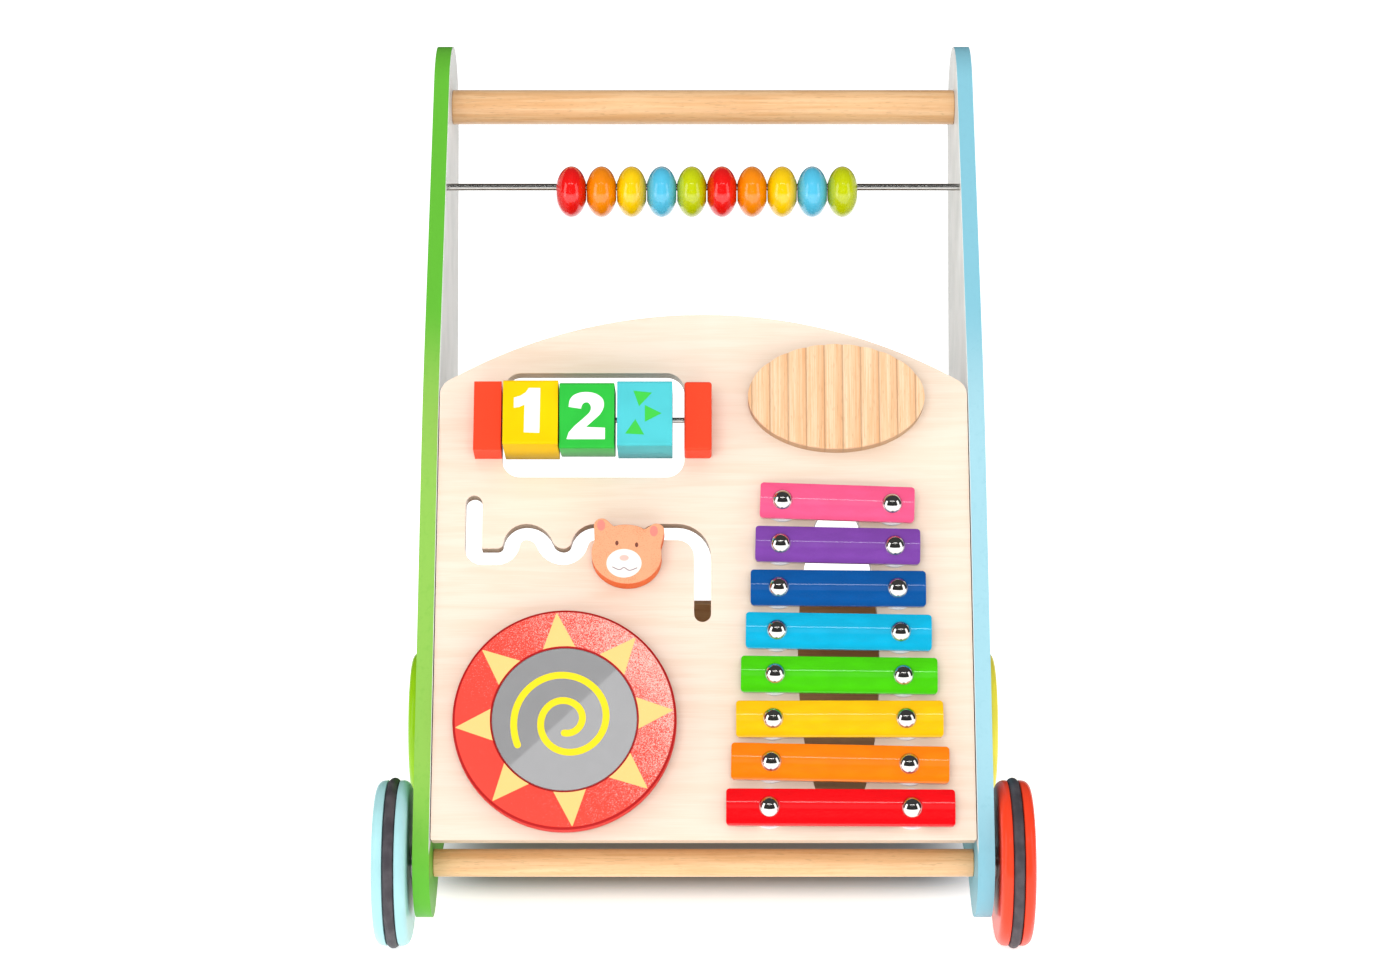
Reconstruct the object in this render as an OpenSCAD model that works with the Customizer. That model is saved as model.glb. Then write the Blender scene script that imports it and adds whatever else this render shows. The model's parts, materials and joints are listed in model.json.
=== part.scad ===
// Wooden baby walker: two side boards on four wheels carry a sloping play panel,
// an abacus, a push handle and a storage tray.
// +Z is up, +X is to the right seen from the front, and the front looks along -Y.
// The origin is on the floor, midway between the axles and between the side boards.

/* [Frame] */
// Clear width between the two side boards
inner_w = 292; // [280:1:360]
// Distance between the front and the rear axle
wheelbase = 246; // [220:1:300]
// Height over the tops of the side boards
overall_h = 458; // [430:1:560]
// Height of both axles
axle_z = 46; // [44:0.5:70]

/* [Side boards] */
// Thickness of a side board
side_t = 9; // [7:0.5:15]
// Radius of the round foot at each axle
lobe_r = 32.5; // [26:0.5:40]
// How far the foot's centre lies above its axle
lobe_lift = 3.5; // [0:0.5:6]
// Backward lean of the lower front edge and of the play panel, in degrees
lean = 29.6; // [20:0.1:34]
// Backward lean of the upper front edge, in degrees
upper_lean = 38; // [35:0.1:45]
// Height at which the front edge changes its lean
bend_z = 280; // [240:1:320]
// Radius of the round top at the handle
top_r = 40; // [30:1:50]
// Height of the bottom edge between the feet
arch_z = 30; // [24:1:40]
// How far the rear edge's waist lies ahead of the rear axle
waist_in = 20; // [10:1:20]
// Height of the rear edge's waist
waist_z = 172; // [160:1:200]

/* [Play panel] */
// Thickness of the play panel
panel_t = 9; // [7:0.5:12]
// Height of the play panel's lower front edge
panel_z = 68; // [64:0.5:80]
// How far the panel's face lies behind the side boards' front edge
panel_inset = 1.2; // [0.5:0.1:4]
// Height of the panel's straight sides, along its slope
panel_side_h = 254; // [250:1:280]
// Rise of the panel's arched top
panel_rise = 41; // [20:1:45]
// Radius of the panel's upper corners
panel_corner_r = 10; // [4:1:20]

/* [Tray] */
// Thickness of the tray floor and of the rear board
tray_t = 9; // [7:0.5:12]
// Height of the tray floor's top
tray_z = 80; // [76:1:90]
// Height of the rear board's top
rear_board_z = 131; // [110:1:160]
// How far the rear board's front face lies ahead of the rear axle
rear_board_in = 31; // [29:1:45]

/* [Handle and axle dowels] */
// Diameter of the handle
handle_d = 20; // [16:0.5:26]
// How far the handle lies ahead of the round top's centre
handle_in = 9; // [0:0.5:12]
// How far the handle lies above the round top's centre
handle_up = 6; // [0:0.5:10]
// Diameter of the dowels between the axle bolts
dowel_d = 15; // [12:0.5:20]

/* [Abacus] */
// Diameter of the abacus rod
rod_d = 4; // [3:0.5:5]
// How far the rod lies below the round top's centre
rod_drop = 32; // [28:1:36]
// How far the rod lies behind the upper front edge
rod_inset = 7; // [6:0.5:12]
// How deep the rod sits in each side board
rod_seat = 5; // [3:0.5:6]
// Number of beads
bead_count = 10; // [10:1:10]
// Diameter of a bead
bead_d = 29; // [20:0.5:35]
// Width of a bead along the rod
bead_w = 17; // [12:0.5:20]
// Gap between resting beads
bead_gap = 0.15; // [0.1:0.05:1]
// Diameter of the hole through a bead
bead_hole_d = 10; // [8:0.5:11]
// Place of the bead row's middle along the rod
beads_x = 2; // [-10:0.5:10]

/* [Number blocks] */
// Width of a block along its rod
block_w = 30; // [25:0.5:30]
// Height and depth of a block
block_h = 36; // [30:0.5:36]
// Rounding of a block's long edges
block_round = 1.6; // [0.5:0.1:4]
// Diameter of the rod through the blocks
block_rod_d = 3; // [2.5:0.5:5]
// Height of the blocks' rod above the panel's face
block_rod_n = 9; // [8:0.5:12]
// Place of the blocks' rod up the panel's slope
block_s = 231; // [228:0.5:236]
// Width of the window behind the blocks
window_w = 100; // [100:0.5:110]
// Height of the window behind the blocks
window_h = 60; // [58:0.5:64]
// Radius of the window's corners
window_r = 10; // [4:1:14]
// Place of the window's left edge from the left side board
window_in = 35.5; // [35:0.5:45]
// Width of a block holder
holder_w = 15; // [12:0.5:17]
// Length of a block holder up the slope
holder_h = 39; // [30:0.5:44]
// Height of a block holder above the panel's face
holder_n = 18; // [15:0.5:22]

/* [Bear maze] */
// Width of the maze slot
slot_w = 9.2; // [8:0.1:11]
// Place of the slot's left leg from the left side board
maze_in = 20.5; // [20:0.5:30]
// Place of the slot's low line up the slope
maze_low = 156; // [150:0.5:160]
// Height of the slot's waves
maze_rise = 14; // [12:0.5:16]
// Place of the left leg's top end up the slope
maze_left_top = 186; // [180:0.5:190]
// Place of the right leg's lower end up the slope
maze_right_end = 124; // [120:0.5:130]
// Width of the bear's face
bear_w = 38; // [30:0.5:42]
// Height of the bear's face without its ears
bear_h = 33; // [28:0.5:36]
// Thickness of the bear
bear_t = 12.4; // [8:0.1:16]
// Diameter of the bear's pin in the slot
bear_pin_d = 8.4; // [6:0.1:8.6]
// Diameter of the disc behind the panel that keeps the bear in
bear_disc_d = 24; // [18:0.5:26]

/* [Sun disc] */
// Diameter of the sun disc
sun_d = 120; // [100:1:120]
// Thickness of the sun disc
sun_t = 10; // [9:0.5:14]
// Gap between the sun disc and the left side board
sun_in = 11.6; // [8:0.1:16]
// Place of the disc's centre up the slope
sun_s = 63.5; // [60:0.5:66]
// Gap between the disc and the panel
sun_gap = 1; // [0.8:0.1:2]
// Diameter of the mirror
mirror_d = 78; // [60:1:90]
// Diameter of the pivot bolt
pivot_d = 6; // [5:0.5:8]

/* [Guiro] */
// Width of the ribbed guiro board
guiro_w = 97; // [80:1:105]
// Height of the guiro board up the slope
guiro_h = 60; // [50:1:66]
// Thickness of the guiro board
guiro_t = 9; // [6:0.5:12]
// Distance between two ribs
flute_pitch = 10; // [6:0.5:12]
// Depth of the grooves between the ribs
flute_depth = 1.4; // [1:0.1:3]
// Place of the guiro's centre up the slope
guiro_s = 245; // [240:0.5:250]

/* [Xylophone] */
// Number of bars
bar_count = 8; // [8:1:8]
// Length of the lowest bar
bar_longest = 122; // [110:1:124]
// How much shorter each bar is than the one below it
bar_step = 5.4; // [3:0.1:7]
// Width of a bar
bar_w = 20; // [16:0.5:23]
// Thickness of a bar's sheet
bar_t = 2; // [1.5:0.1:3]
// Height of a bar's arched cross-section above its edges
bar_arch = 2.2; // [1.5:0.1:4]
// Distance between two bars up the slope
bar_pitch = 24.1; // [23.5:0.1:26]
// Place of the lowest bar up the slope
bar_first_s = 16.6; // [14:0.1:20]
// Place of the bars' middle from the right side board
bars_in = 73; // [72:0.5:76]
// Half the distance between the lowest bar's screws
screw_half = 38; // [30:0.5:42]
// How much nearer to the middle the screws of each further bar are
screw_step = 1.15; // [0:0.05:1.5]
// Diameter of a felt washer
felt_d = 22; // [18:0.5:23]
// Thickness of a felt washer
felt_t = 3; // [2:0.5:5]
// Width of the sound opening behind the bars
sound_w = 44; // [30:1:46]
// Height of the sound opening up the slope
sound_h = 180; // [150:1:184]
// Place of the sound opening's centre up the slope
sound_s = 99.5; // [95:0.5:103]

/* [Wheels] */
// Diameter of a wheel's wooden disc
wheel_d = 89.2; // [70:0.1:90]
// Width of a wheel
wheel_w = 18.5; // [14:0.5:25]
// Rounding of a wheel's rims
wheel_round = 4; // [1:0.5:5]
// Diameter of the tyre ring's cord
tyre_cord_d = 6; // [4:0.5:7]
// How far the tyre ring stands out of the wooden disc
tyre_proud = 1.4; // [0.5:0.1:2]
// Gap between a side board and a wheel
wheel_gap = 3; // [2:0.5:6]
// Diameter of an axle bolt's smooth part
axle_bolt_d = 8; // [6:0.5:9]

/* [Fastenings] */
// Diameter of a frame screw
screw_d = 3.6; // [3:0.1:4.2]
// Diameter of a frame screw's countersunk head
screw_head_d = 7.6; // [6:0.1:9]
// Length of a frame screw
screw_len = 29; // [25:1:35]
// Diameter of a xylophone screw
bar_screw_d = 3; // [2.5:0.1:4]
// Diameter of a xylophone screw's domed head
bar_head_d = 11.2; // [8:0.1:12]
// Height of a xylophone screw's domed head
bar_head_h = 3.6; // [2:0.1:5]

/* [Fits] */
// Radial clearance of what turns on a pin or bolt
run_fit = 0.06; // [0.02:0.01:0.1]
// Radial clearance of what is only pushed in or screwed in
seat_fit = 0.05; // [0.01:0.01:0.1]
// End gap that keeps moving faces from rubbing
end_gap = 0.2; // [0.1:0.1:0.5]
// Gap between the play panel and each side board
panel_gap = 0.5; // [0.2:0.1:1]

/* [Hidden] */
$fn = 96;

// Colours
birch = [0.96, 0.90, 0.80];
beech = [0.93, 0.76, 0.55];
steel = [0.75, 0.76, 0.78];
leaf_green = [0.47, 0.78, 0.27];
sky_blue = [0.60, 0.83, 0.90];
coral = [0.93, 0.35, 0.24];
bead_colours = [
    [0.90, 0.13, 0.15], [0.96, 0.55, 0.15], [0.99, 0.86, 0.10],
    [0.40, 0.76, 0.90], [0.62, 0.80, 0.13]
];
bar_colours = [
    [0.92, 0.10, 0.14], [1.00, 0.56, 0.05], [1.00, 0.83, 0.05], [0.35, 0.82, 0.15],
    [0.15, 0.72, 0.90], [0.02, 0.42, 0.70], [0.55, 0.33, 0.72], [0.98, 0.42, 0.66]
];
block_colours = [[1.00, 0.86, 0.05], [0.25, 0.75, 0.30], [0.40, 0.82, 0.90]];

// Side boards: their outline is a belt round seven circles
half_w = inner_w / 2;
outer_x = half_w + side_t;
front_y = -wheelbase / 2;
rear_y = wheelbase / 2;
lobe_z = axle_z + lobe_lift;
bend_r = 500;
arch_r = 20;
arch_in = lobe_r + 8;
waist_r = 120;
lean_n = dir(180 - lean);
front_d = lean_n * [front_y, lobe_z] + lobe_r;
upper_n = dir(180 - upper_lean);
upper_d = upper_n * [edge_y(lean_n, front_d, bend_z), bend_z];
bend_c = meet(lean_n, front_d - bend_r, upper_n, upper_d - bend_r);
top_z = overall_h - top_r;
top_y = edge_y(upper_n, upper_d - top_r, top_z);
side_circles = [
    [front_y, lobe_z, lobe_r],
    [front_y + arch_in, arch_z - arch_r, -arch_r],
    [rear_y - arch_in, arch_z - arch_r, -arch_r],
    [rear_y, lobe_z, lobe_r],
    [rear_y - waist_in + waist_r, waist_z, -waist_r],
    [top_y, top_z, top_r],
    [bend_c.x, bend_c.y, bend_r]
];

// Handle and abacus rod, as [y, z]
handle_at = [top_y - handle_in, top_z + handle_up];
rod_z = top_z - rod_drop;
rod_at = [edge_y(upper_n, upper_d - rod_inset, rod_z), rod_z];

// Play panel: x runs across, s up its slope, n out of its face
panel_y = edge_y(lean_n, front_d - panel_inset, panel_z);
panel_half = half_w - panel_gap;
crown_r = (panel_half * panel_half + panel_rise * panel_rise) / (2 * panel_rise);
crown_s = panel_side_h + panel_rise - crown_r;
corner_s = crown_s + sqrt(pow(crown_r - panel_corner_r, 2) - pow(panel_half - panel_corner_r, 2));
foot_round = 1;

// Tray
floor_back_y = rear_y - rear_board_in;
panel_back_d = front_d - panel_inset - panel_t - end_gap;

// Beads
bead_pitch = bead_w + bead_gap;
bead_sag = (bead_hole_d - rod_d) / 2 - 0.3;

// Number blocks
window_x = -half_w + window_in + window_w / 2;
holder_x = (window_w + holder_w) / 2;
block_play = window_w - 3 * block_w;
block_shift = [0.14, 0.21, 0.35];
block_x = [for (i = [0:2]) window_x - window_w / 2 + block_w * (i + 0.5) + block_play * block_shift[i]];
block_turn = [2, 8.5, 4.5];

// Bear maze: where its waves turn, from its left leg, in mm
maze_x = -half_w + maze_in;
maze_high = maze_low + maze_rise;
waves = [13, 28.7, 49.2, 66.6, 84, 101.4];
shoulder_x = 111;
corner_turn_r = 5;
end_turn_r = maze_rise;
bear_at = [maze_x + waves[4], maze_low];
bear_gap = 1;
bear_stem_d = 6;
bear_socket = 8;
bear_tilt = 5.5;
face_drop = 1.9;
ear_r = 0.113 * bear_w;
ear_at = [0.392 * bear_w, 0.376 * bear_h];
ear_root_r = 0.2 * bear_w;
ear_root = [0.276 * bear_w, 0.145 * bear_h];
disc_t = 4;

// Sun disc
sun_x = -half_w + sun_in + sun_d / 2;
mirror_t = 2.8;
mirror_sink = 0.7;
pivot_head_d = 13;
pivot_head_t = 3;
nut_d = 11.6;
nut_t = 4;
spacer_d = 18;

// Guiro and xylophone
guiro_x = half_w - bars_in;
flute_shift = 3.6;
rib_r = (flute_pitch * flute_pitch / 4 + flute_depth * flute_depth) / (2 * flute_depth);
bars_x = half_w - bars_in;
bar_tilt = [0.3, 1.15, 0, 0.7, 0.9, 0.5, 1.2, 2];
bar_hole_d = bar_screw_d + 1.4;
bar_screw_depth = panel_t - 2;
bar_top_n = felt_t + bar_arch + bar_t;

// Wheels
wheel_x = outer_x + wheel_gap;
tyre_ring_r = wheel_d / 2 + tyre_proud - tyre_cord_d / 2;
hub_recess_d = 24;
hub_recess = 1.5;
bolt_head_d = 18;
bolt_head_h = 3.4;
bolt_thread_d = axle_bolt_d - 2;
bolt_thread_len = 25;

// Frame screws on a side board, as [y, z]
screw_places = [
    panel_point(40), panel_point(135), panel_point(215),
    [front_y + wheelbase * 0.25, tray_z - tray_t / 2],
    [rear_y - wheelbase * 0.3, tray_z - tray_t / 2],
    [floor_back_y + tray_t / 2, (tray_z + rear_board_z) / 2],
    handle_at
];

// Unit vector at an angle
function dir(a) = [cos(a), sin(a)];

// Y of the edge whose normal is n at distance d from the origin, at height z
function edge_y(n, d, z) = (d - n.y * z) / n.x;

// Point where two edges meet, each given by its normal and its distance
function meet(n, d, m, e) = [d * m.y - e * n.y, n.x * e - m.x * d] / (n.x * m.y - n.y * m.x);

// Point [y, z] in the middle of the play panel's thickness, s up its slope
function panel_point(s) = [panel_y, panel_z] + s * dir(90 - lean) - panel_t / 2 * lean_n;

// Angle of the normal of the straight that joins circle c to circle d
function belt_angle(c, d) =
    atan2(d.y - c.y, d.x - c.x)
    - acos(max(-1, min(1, (c.z - d.z) / norm([d.x - c.x, d.y - c.y]))));

// Turn from angle a to angle b, counted anticlockwise
function turn(a, b) = let (t = b - a - 360 * floor((b - a) / 360)) t > 359.9 ? 0 : t;

// Points on circle c between the angles a and b, clockwise where its radius is negative
function belt_arc(c, a, b) =
    let (
        sweep = c.z > 0 ? turn(a, b) : -turn(b, a),
        steps = max(4, ceil(abs(sweep) / 7.5), ceil(abs(c.z * sweep) / 250))
    )
    [for (k = [0:steps]) [c.x, c.y] + c.z * dir(a + sweep * k / steps)];

// Outline of a belt round circles [x, y, r]; a negative r bends it inwards
function belt(circles) =
    let (count = len(circles))
    [for (i = [0:count - 1])
        let (
            c = circles[i],
            before = circles[(i + count - 1) % count],
            after = circles[(i + 1) % count]
        )
        each belt_arc(c, belt_angle(before, c), belt_angle(c, after))];

// Rectangle w by h about the origin with round corners
function round_rect(w, h, r) =
    let (x = w / 2 - r, y = h / 2 - r)
    belt([[x, -y, r], [x, y, r], [-x, y, r], [-x, -y, r]]);

// Ellipse w by h about the origin
function ellipse(w, h) = [for (a = [0:5:355]) [w / 2 * cos(a), h / 2 * sin(a)]];

// S-bend of two equal arcs from p to q, level at both ends, without its first point
function swing(p, q) =
    let (w = (q.x - p.x) / 2, h = (q.y - p.y) / 2, fall = 2 * atan(h / w), r = w / sin(fall))
    concat(
        [for (k = [1:6]) p + r * [sin(fall * k / 6), 1 - cos(fall * k / 6)]],
        [for (k = [5:-1:0]) q - r * [sin(fall * k / 6), 1 - cos(fall * k / 6)]]
    );

// Arc about c from angle a to angle b
function bend(c, r, a, b) = [for (k = [0:8]) c + r * dir(a + (b - a) * k / 8)];

// Middle line of the maze slot
function wave_point(i) = [maze_x + waves[i], i % 2 == 0 ? maze_low : maze_high];
function maze_line() = concat(
    [[maze_x, maze_left_top]],
    bend([maze_x + corner_turn_r, maze_low + corner_turn_r], corner_turn_r, 180, 270),
    [wave_point(0)],
    [for (i = [0:len(waves) - 2]) each swing(wave_point(i), wave_point(i + 1))],
    bend([maze_x + shoulder_x, maze_high - end_turn_r], end_turn_r, 90, 0),
    [[maze_x + shoulder_x + end_turn_r, maze_right_end]]
);

// Direction of a line of points at point i
function heading(line, i) =
    let (d = line[min(i + 1, len(line) - 1)] - line[max(i - 1, 0)]) atan2(d.y, d.x);

// Outline of a slot of width w with round ends along a line of points
function slot_outline(line, w) =
    let (last = len(line) - 1)
    concat(
        [for (i = [0:last]) line[i] + w / 2 * dir(heading(line, i) + 90)],
        [for (a = [80:-10:-80]) line[last] + w / 2 * dir(heading(line, last) + a)],
        [for (i = [last:-1:0]) line[i] + w / 2 * dir(heading(line, i) - 90)],
        [for (a = [260:-10:100]) line[0] + w / 2 * dir(heading(line, 0) + a)]
    );

// Radius of the trough in which the bear rests
bear_swing_r = let (w = (waves[5] - waves[4]) / 2) w / sin(2 * atan(maze_rise / 2 / w));

// Point at a share k of rib i of the guiro, as [x, height]
function rib_point(i, k) =
    let (x = (k - 0.5) * flute_pitch)
    [flute_shift + (i + 0.5) * flute_pitch + x, guiro_t - rib_r + sqrt(rib_r * rib_r - x * x)];

// Place of a bar's middle, and of its screws along it
function bar_s(i) = bar_first_s + bar_pitch * i;
function bar_len(i) = bar_longest - bar_step * i;
function bar_screw_x(i) = screw_half - screw_step * i;

// Arched cross-section of a bar, standing on its edges
function bar_profile() =
    let (
        r = (bar_w * bar_w / 4 + bar_arch * bar_arch) / (2 * bar_arch),
        inner = asin(bar_w / 2 / r),
        outer = asin(bar_w / 2 / (r + bar_t)),
        c = [0, bar_arch - r]
    )
    concat(
        [for (k = [-6:6]) c + r * dir(90 - inner * k / 6)],
        [for (k = [6:-1:-6]) c + (r + bar_t) * dir(90 - outer * k / 6)]
    );

// Places its children on the play panel: x across, y up the slope, z out of its face
module on_panel(x = 0, s = 0, n = 0) {
    translate([0, panel_y, panel_z]) rotate([90 - lean, 0, 0]) translate([x, s, n]) children();
}

// Extrudes a [y, z] drawing along X
module along_x(from, to) {
    translate([from, 0, 0]) rotate([90, 0, 90]) linear_extrude(to - from) children();
}

// Cylinder along X
module bar_x(r, from, to, at) {
    translate([from, at.x, at.y]) rotate([0, 90, 0]) cylinder(r = r, h = to - from);
}

// Domed head of a screw or bolt, standing on z = 0
module dome(d, h) {
    r = (d * d / 4 + h * h) / (2 * h);
    half = asin(d / 2 / r);
    arc = [for (k = [8:-1:0]) [r * sin(half * k / 8), h - r + r * cos(half * k / 8)]];
    rotate_extrude() polygon(concat([[0, 0]], arc));
}

// Countersunk screw or its hole on the right side board, entering along -X
module frame_screw(at, extra = 0) {
    r = screw_d / 2 + extra;
    head_r = screw_head_d / 2 + extra;
    cone = head_r - r;
    bar_x(r, outer_x - screw_len - extra, outer_x - cone + 0.01, at);
    translate([outer_x - cone, at.x, at.y]) rotate([0, 90, 0]) cylinder(r1 = r, r2 = head_r, h = cone);
}

// Holes of all frame screws, on both sides
module frame_screw_holes() {
    for (side = [0, 1], at = screw_places) mirror([side, 0, 0]) frame_screw(at, seat_fit);
}

// Right side board; the left one is its mirror image
module side_board() {
    difference() {
        along_x(half_w, outer_x) polygon(belt(side_circles));
        for (y = [front_y, rear_y]) {
            bar_x(axle_bolt_d / 2 + seat_fit, half_w - 1, outer_x + 1, [y, axle_z]);
        }
        bar_x(rod_d / 2 + seat_fit, half_w - 1, half_w + rod_seat + end_gap, rod_at);
        for (at = screw_places) {
            frame_screw(at, seat_fit);
            bar_x(screw_head_d / 2 + seat_fit, outer_x - 0.01, outer_x + 1, at);
        }
    }
}
module left_side_panel() {
    color(leaf_green) mirror([1, 0, 0]) side_board();
}
module right_side_panel() {
    color(sky_blue) side_board();
}

// Board cut with the block window, the maze slot, the sound opening and its screw holes
module panel_drawing() {
    inner = panel_half - panel_corner_r;
    low = panel_half - foot_round;
    difference() {
        polygon(belt([
            [low, foot_round, foot_round], [inner, corner_s, panel_corner_r], [0, crown_s, crown_r],
            [-inner, corner_s, panel_corner_r], [-low, foot_round, foot_round]
        ]));
        translate([window_x, block_s]) polygon(round_rect(window_w, window_h, window_r));
        polygon(slot_outline(maze_line(), slot_w));
        translate([bars_x, sound_s]) polygon(ellipse(sound_w, sound_h));
        translate([sun_x, sun_s]) circle(pivot_d / 2 + seat_fit);
    }
}
module play_panel() {
    color(birch) difference() {
        on_panel(0, 0, -panel_t) linear_extrude(panel_t) panel_drawing();
        at_bar_screws() translate([0, 0, -bar_screw_depth - end_gap])
            cylinder(d = bar_screw_d + 2 * seat_fit, h = bar_screw_depth + 1);
        frame_screw_holes();
    }
}

module rear_board() {
    color(birch) difference() {
        along_x(-half_w, half_w) translate([floor_back_y, tray_z - tray_t])
            square([tray_t, rear_board_z - tray_z + tray_t]);
        frame_screw_holes();
    }
}
module tray_floor() {
    low = tray_z - tray_t;
    color(birch) difference() {
        along_x(-half_w, half_w) polygon([
            [edge_y(lean_n, panel_back_d, low), low], [floor_back_y, low],
            [floor_back_y, tray_z], [edge_y(lean_n, panel_back_d, tray_z), tray_z]
        ]);
        frame_screw_holes();
    }
}

module handle_bar() {
    color(beech) difference() {
        bar_x(handle_d / 2, -half_w, half_w, handle_at);
        frame_screw_holes();
    }
}

// Dowel between the side boards with a threaded hole in each end for the axle bolts
module axle_dowel(y) {
    depth = bolt_thread_len + end_gap;
    color(beech) difference() {
        bar_x(dowel_d / 2, -half_w, half_w, [y, axle_z]);
        for (x = [-half_w - 1, half_w - depth]) {
            bar_x(bolt_thread_d / 2 + seat_fit, x, x + depth + 1, [y, axle_z]);
        }
    }
}
module frame_screws() {
    color(steel) for (side = [0, 1], at = screw_places) mirror([side, 0, 0]) frame_screw(at);
}

module abacus_rod() {
    color(steel) bar_x(rod_d / 2, -half_w - rod_seat, half_w + rod_seat, rod_at);
}
// Flattened round bead with a wide hole, hanging on the rod
module bead(i) {
    x = beads_x + (i - (bead_count - 1) / 2) * bead_pitch;
    start = asin(bead_hole_d / bead_d);
    half = bead_w / 2 / cos(start);
    color(bead_colours[i % len(bead_colours)]) translate([x, rod_at.x, rod_at.y - bead_sag])
        rotate([0, 90, 0]) rotate_extrude()
            polygon([for (k = [0:20]) let (a = start + (180 - 2 * start) * k / 20)
                [bead_d / 2 * sin(a), -half * cos(a)]]);
}

// Block that carries one end of the block rod
module block_holder(side) {
    color(coral) difference() {
        on_panel(window_x + side * holder_x, block_s, holder_n / 2)
            cube([holder_w, holder_h, holder_n], true);
        block_bar(block_rod_d / 2 + seat_fit, end_gap);
    }
}
module block_bar(r, extra = 0) {
    length = window_w + holder_w + 2 * extra;
    on_panel(window_x, block_s, block_rod_n) rotate([0, 90, 0]) cylinder(r = r, h = length, center = true);
}
module block_rod() {
    color(steel) block_bar(block_rod_d / 2);
}
module number_block(i) {
    color(block_colours[i]) on_panel(block_x[i], block_s, block_rod_n) rotate([block_turn[i], 0, 0])
        rotate([0, 90, 0]) linear_extrude(block_w, center = true) difference() {
            polygon(round_rect(block_h, block_h, block_round));
            circle(block_rod_d / 2 + run_fit);
        }
}

// Bear's face with two ears, turning on its pin
module bear_head() {
    color([0.95, 0.62, 0.38]) on_panel(bear_at.x, bear_at.y, bear_gap) difference() {
        rotate([0, 0, -bear_tilt]) linear_extrude(bear_t) {
            translate([0, -face_drop]) polygon(ellipse(bear_w, bear_h));
            for (side = [-1, 1]) {
                polygon(belt([
                    [side * ear_at.x, ear_at.y, ear_r],
                    [side * ear_root.x, ear_root.y, ear_root_r]
                ]));
            }
        }
        translate([0, 0, -1]) cylinder(d = bear_stem_d + 2 * run_fit, h = bear_socket + 1 + end_gap);
    }
}
module bear_pin() {
    low = -panel_t - end_gap - disc_t;
    color(beech) {
        on_panel(bear_at.x, bear_at.y, -panel_t - end_gap)
            cylinder(d = bear_pin_d, h = panel_t + end_gap + bear_gap - end_gap);
        on_panel(bear_at.x, bear_at.y, low) cylinder(d = bear_stem_d, h = bear_gap + bear_socket - low);
    }
}
module bear_rear_disc() {
    color(birch) on_panel(bear_at.x, bear_at.y, -panel_t - end_gap - disc_t) difference() {
        cylinder(d = bear_disc_d, h = disc_t);
        translate([0, 0, -1]) cylinder(d = bear_stem_d + 2 * seat_fit, h = disc_t + 2);
    }
}

// Sun disc: a ring with a mirror let into its face, on a bolt that the mirror hides
module sun_disc() {
    floor_n = sun_t - mirror_t - mirror_sink;
    head_n = pivot_head_t + 2 * end_gap;
    color(coral) on_panel(sun_x, sun_s, sun_gap) difference() {
        cylinder(d = sun_d, h = sun_t);
        translate([0, 0, floor_n]) cylinder(d = mirror_d + 2 * seat_fit, h = sun_t);
        translate([0, 0, floor_n - head_n]) cylinder(d = pivot_head_d + 1, h = sun_t);
        translate([0, 0, -1]) cylinder(r = pivot_d / 2 + run_fit, h = sun_t);
    }
}
module sun_mirror() {
    color([0.72, 0.73, 0.75]) on_panel(sun_x, sun_s, sun_gap + sun_t - mirror_t - mirror_sink)
        cylinder(d = mirror_d, h = mirror_t);
}
module sun_pivot_bolt() {
    head_n = sun_gap + sun_t - mirror_t - mirror_sink - pivot_head_t - end_gap;
    end_n = -panel_t - nut_t - 1;
    color(steel) {
        on_panel(sun_x, sun_s, head_n) cylinder(d = pivot_head_d, h = pivot_head_t);
        on_panel(sun_x, sun_s, end_n) cylinder(d = pivot_d, h = head_n - end_n + 0.01);
    }
}
module sun_pivot_nut() {
    color(steel) on_panel(sun_x, sun_s, -panel_t - nut_t) difference() {
        cylinder(d = nut_d, h = nut_t, $fn = 6);
        translate([0, 0, -1]) cylinder(d = pivot_d + 2 * seat_fit, h = nut_t + 2);
    }
}
module sun_spacer() {
    color("white") on_panel(sun_x, sun_s) difference() {
        cylinder(d = spacer_d, h = sun_gap - end_gap);
        translate([0, 0, -1]) cylinder(d = pivot_d + 2 * seat_fit, h = sun_gap + 1);
    }
}

// Oval board with round ribs up the slope, to scrape with a stick
module guiro_board() {
    first = -ceil(guiro_w / flute_pitch / 2) - 1;
    color(beech) on_panel(guiro_x, guiro_s) intersection() {
        linear_extrude(guiro_t) polygon(ellipse(guiro_w, guiro_h));
        rotate([90, 0, 0]) linear_extrude(guiro_h, center = true) polygon(concat(
            [[-first * flute_pitch, 0], [first * flute_pitch, 0]],
            [for (i = [first:-first], k = [0:5]) rib_point(i, k / 6)]
        ));
    }
}

// Places its children at the middle of a bar, on the panel's face
module at_bar(i) {
    on_panel(bars_x, bar_s(i)) rotate([0, 0, -bar_tilt[i]]) children();
}
module xylophone_bar(i) {
    color(bar_colours[i]) at_bar(i) difference() {
        translate([-bar_len(i) / 2, 0, felt_t]) rotate([90, 0, 90]) linear_extrude(bar_len(i))
            polygon(bar_profile());
        for (side = [-1, 1]) {
            translate([side * bar_screw_x(i), 0, 0]) cylinder(d = bar_hole_d, h = bar_top_n + 1);
        }
    }
}
// Places its children at both screws of every bar
module at_bar_screws() {
    for (i = [0:bar_count - 1], side = [-1, 1]) {
        at_bar(i) translate([side * bar_screw_x(i), 0, 0]) children();
    }
}
module xylophone_screws() {
    color(steel) at_bar_screws() {
        translate([0, 0, -bar_screw_depth])
            cylinder(d = bar_screw_d, h = bar_screw_depth + bar_top_n + 0.01);
        translate([0, 0, bar_top_n]) dome(bar_head_d, bar_head_h);
    }
}
module xylophone_washers() {
    color("white") at_bar_screws() difference() {
        cylinder(d = felt_d, h = felt_t);
        translate([0, 0, -1]) cylinder(d = bar_screw_d + 2 * seat_fit, h = felt_t + 2);
    }
}

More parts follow.
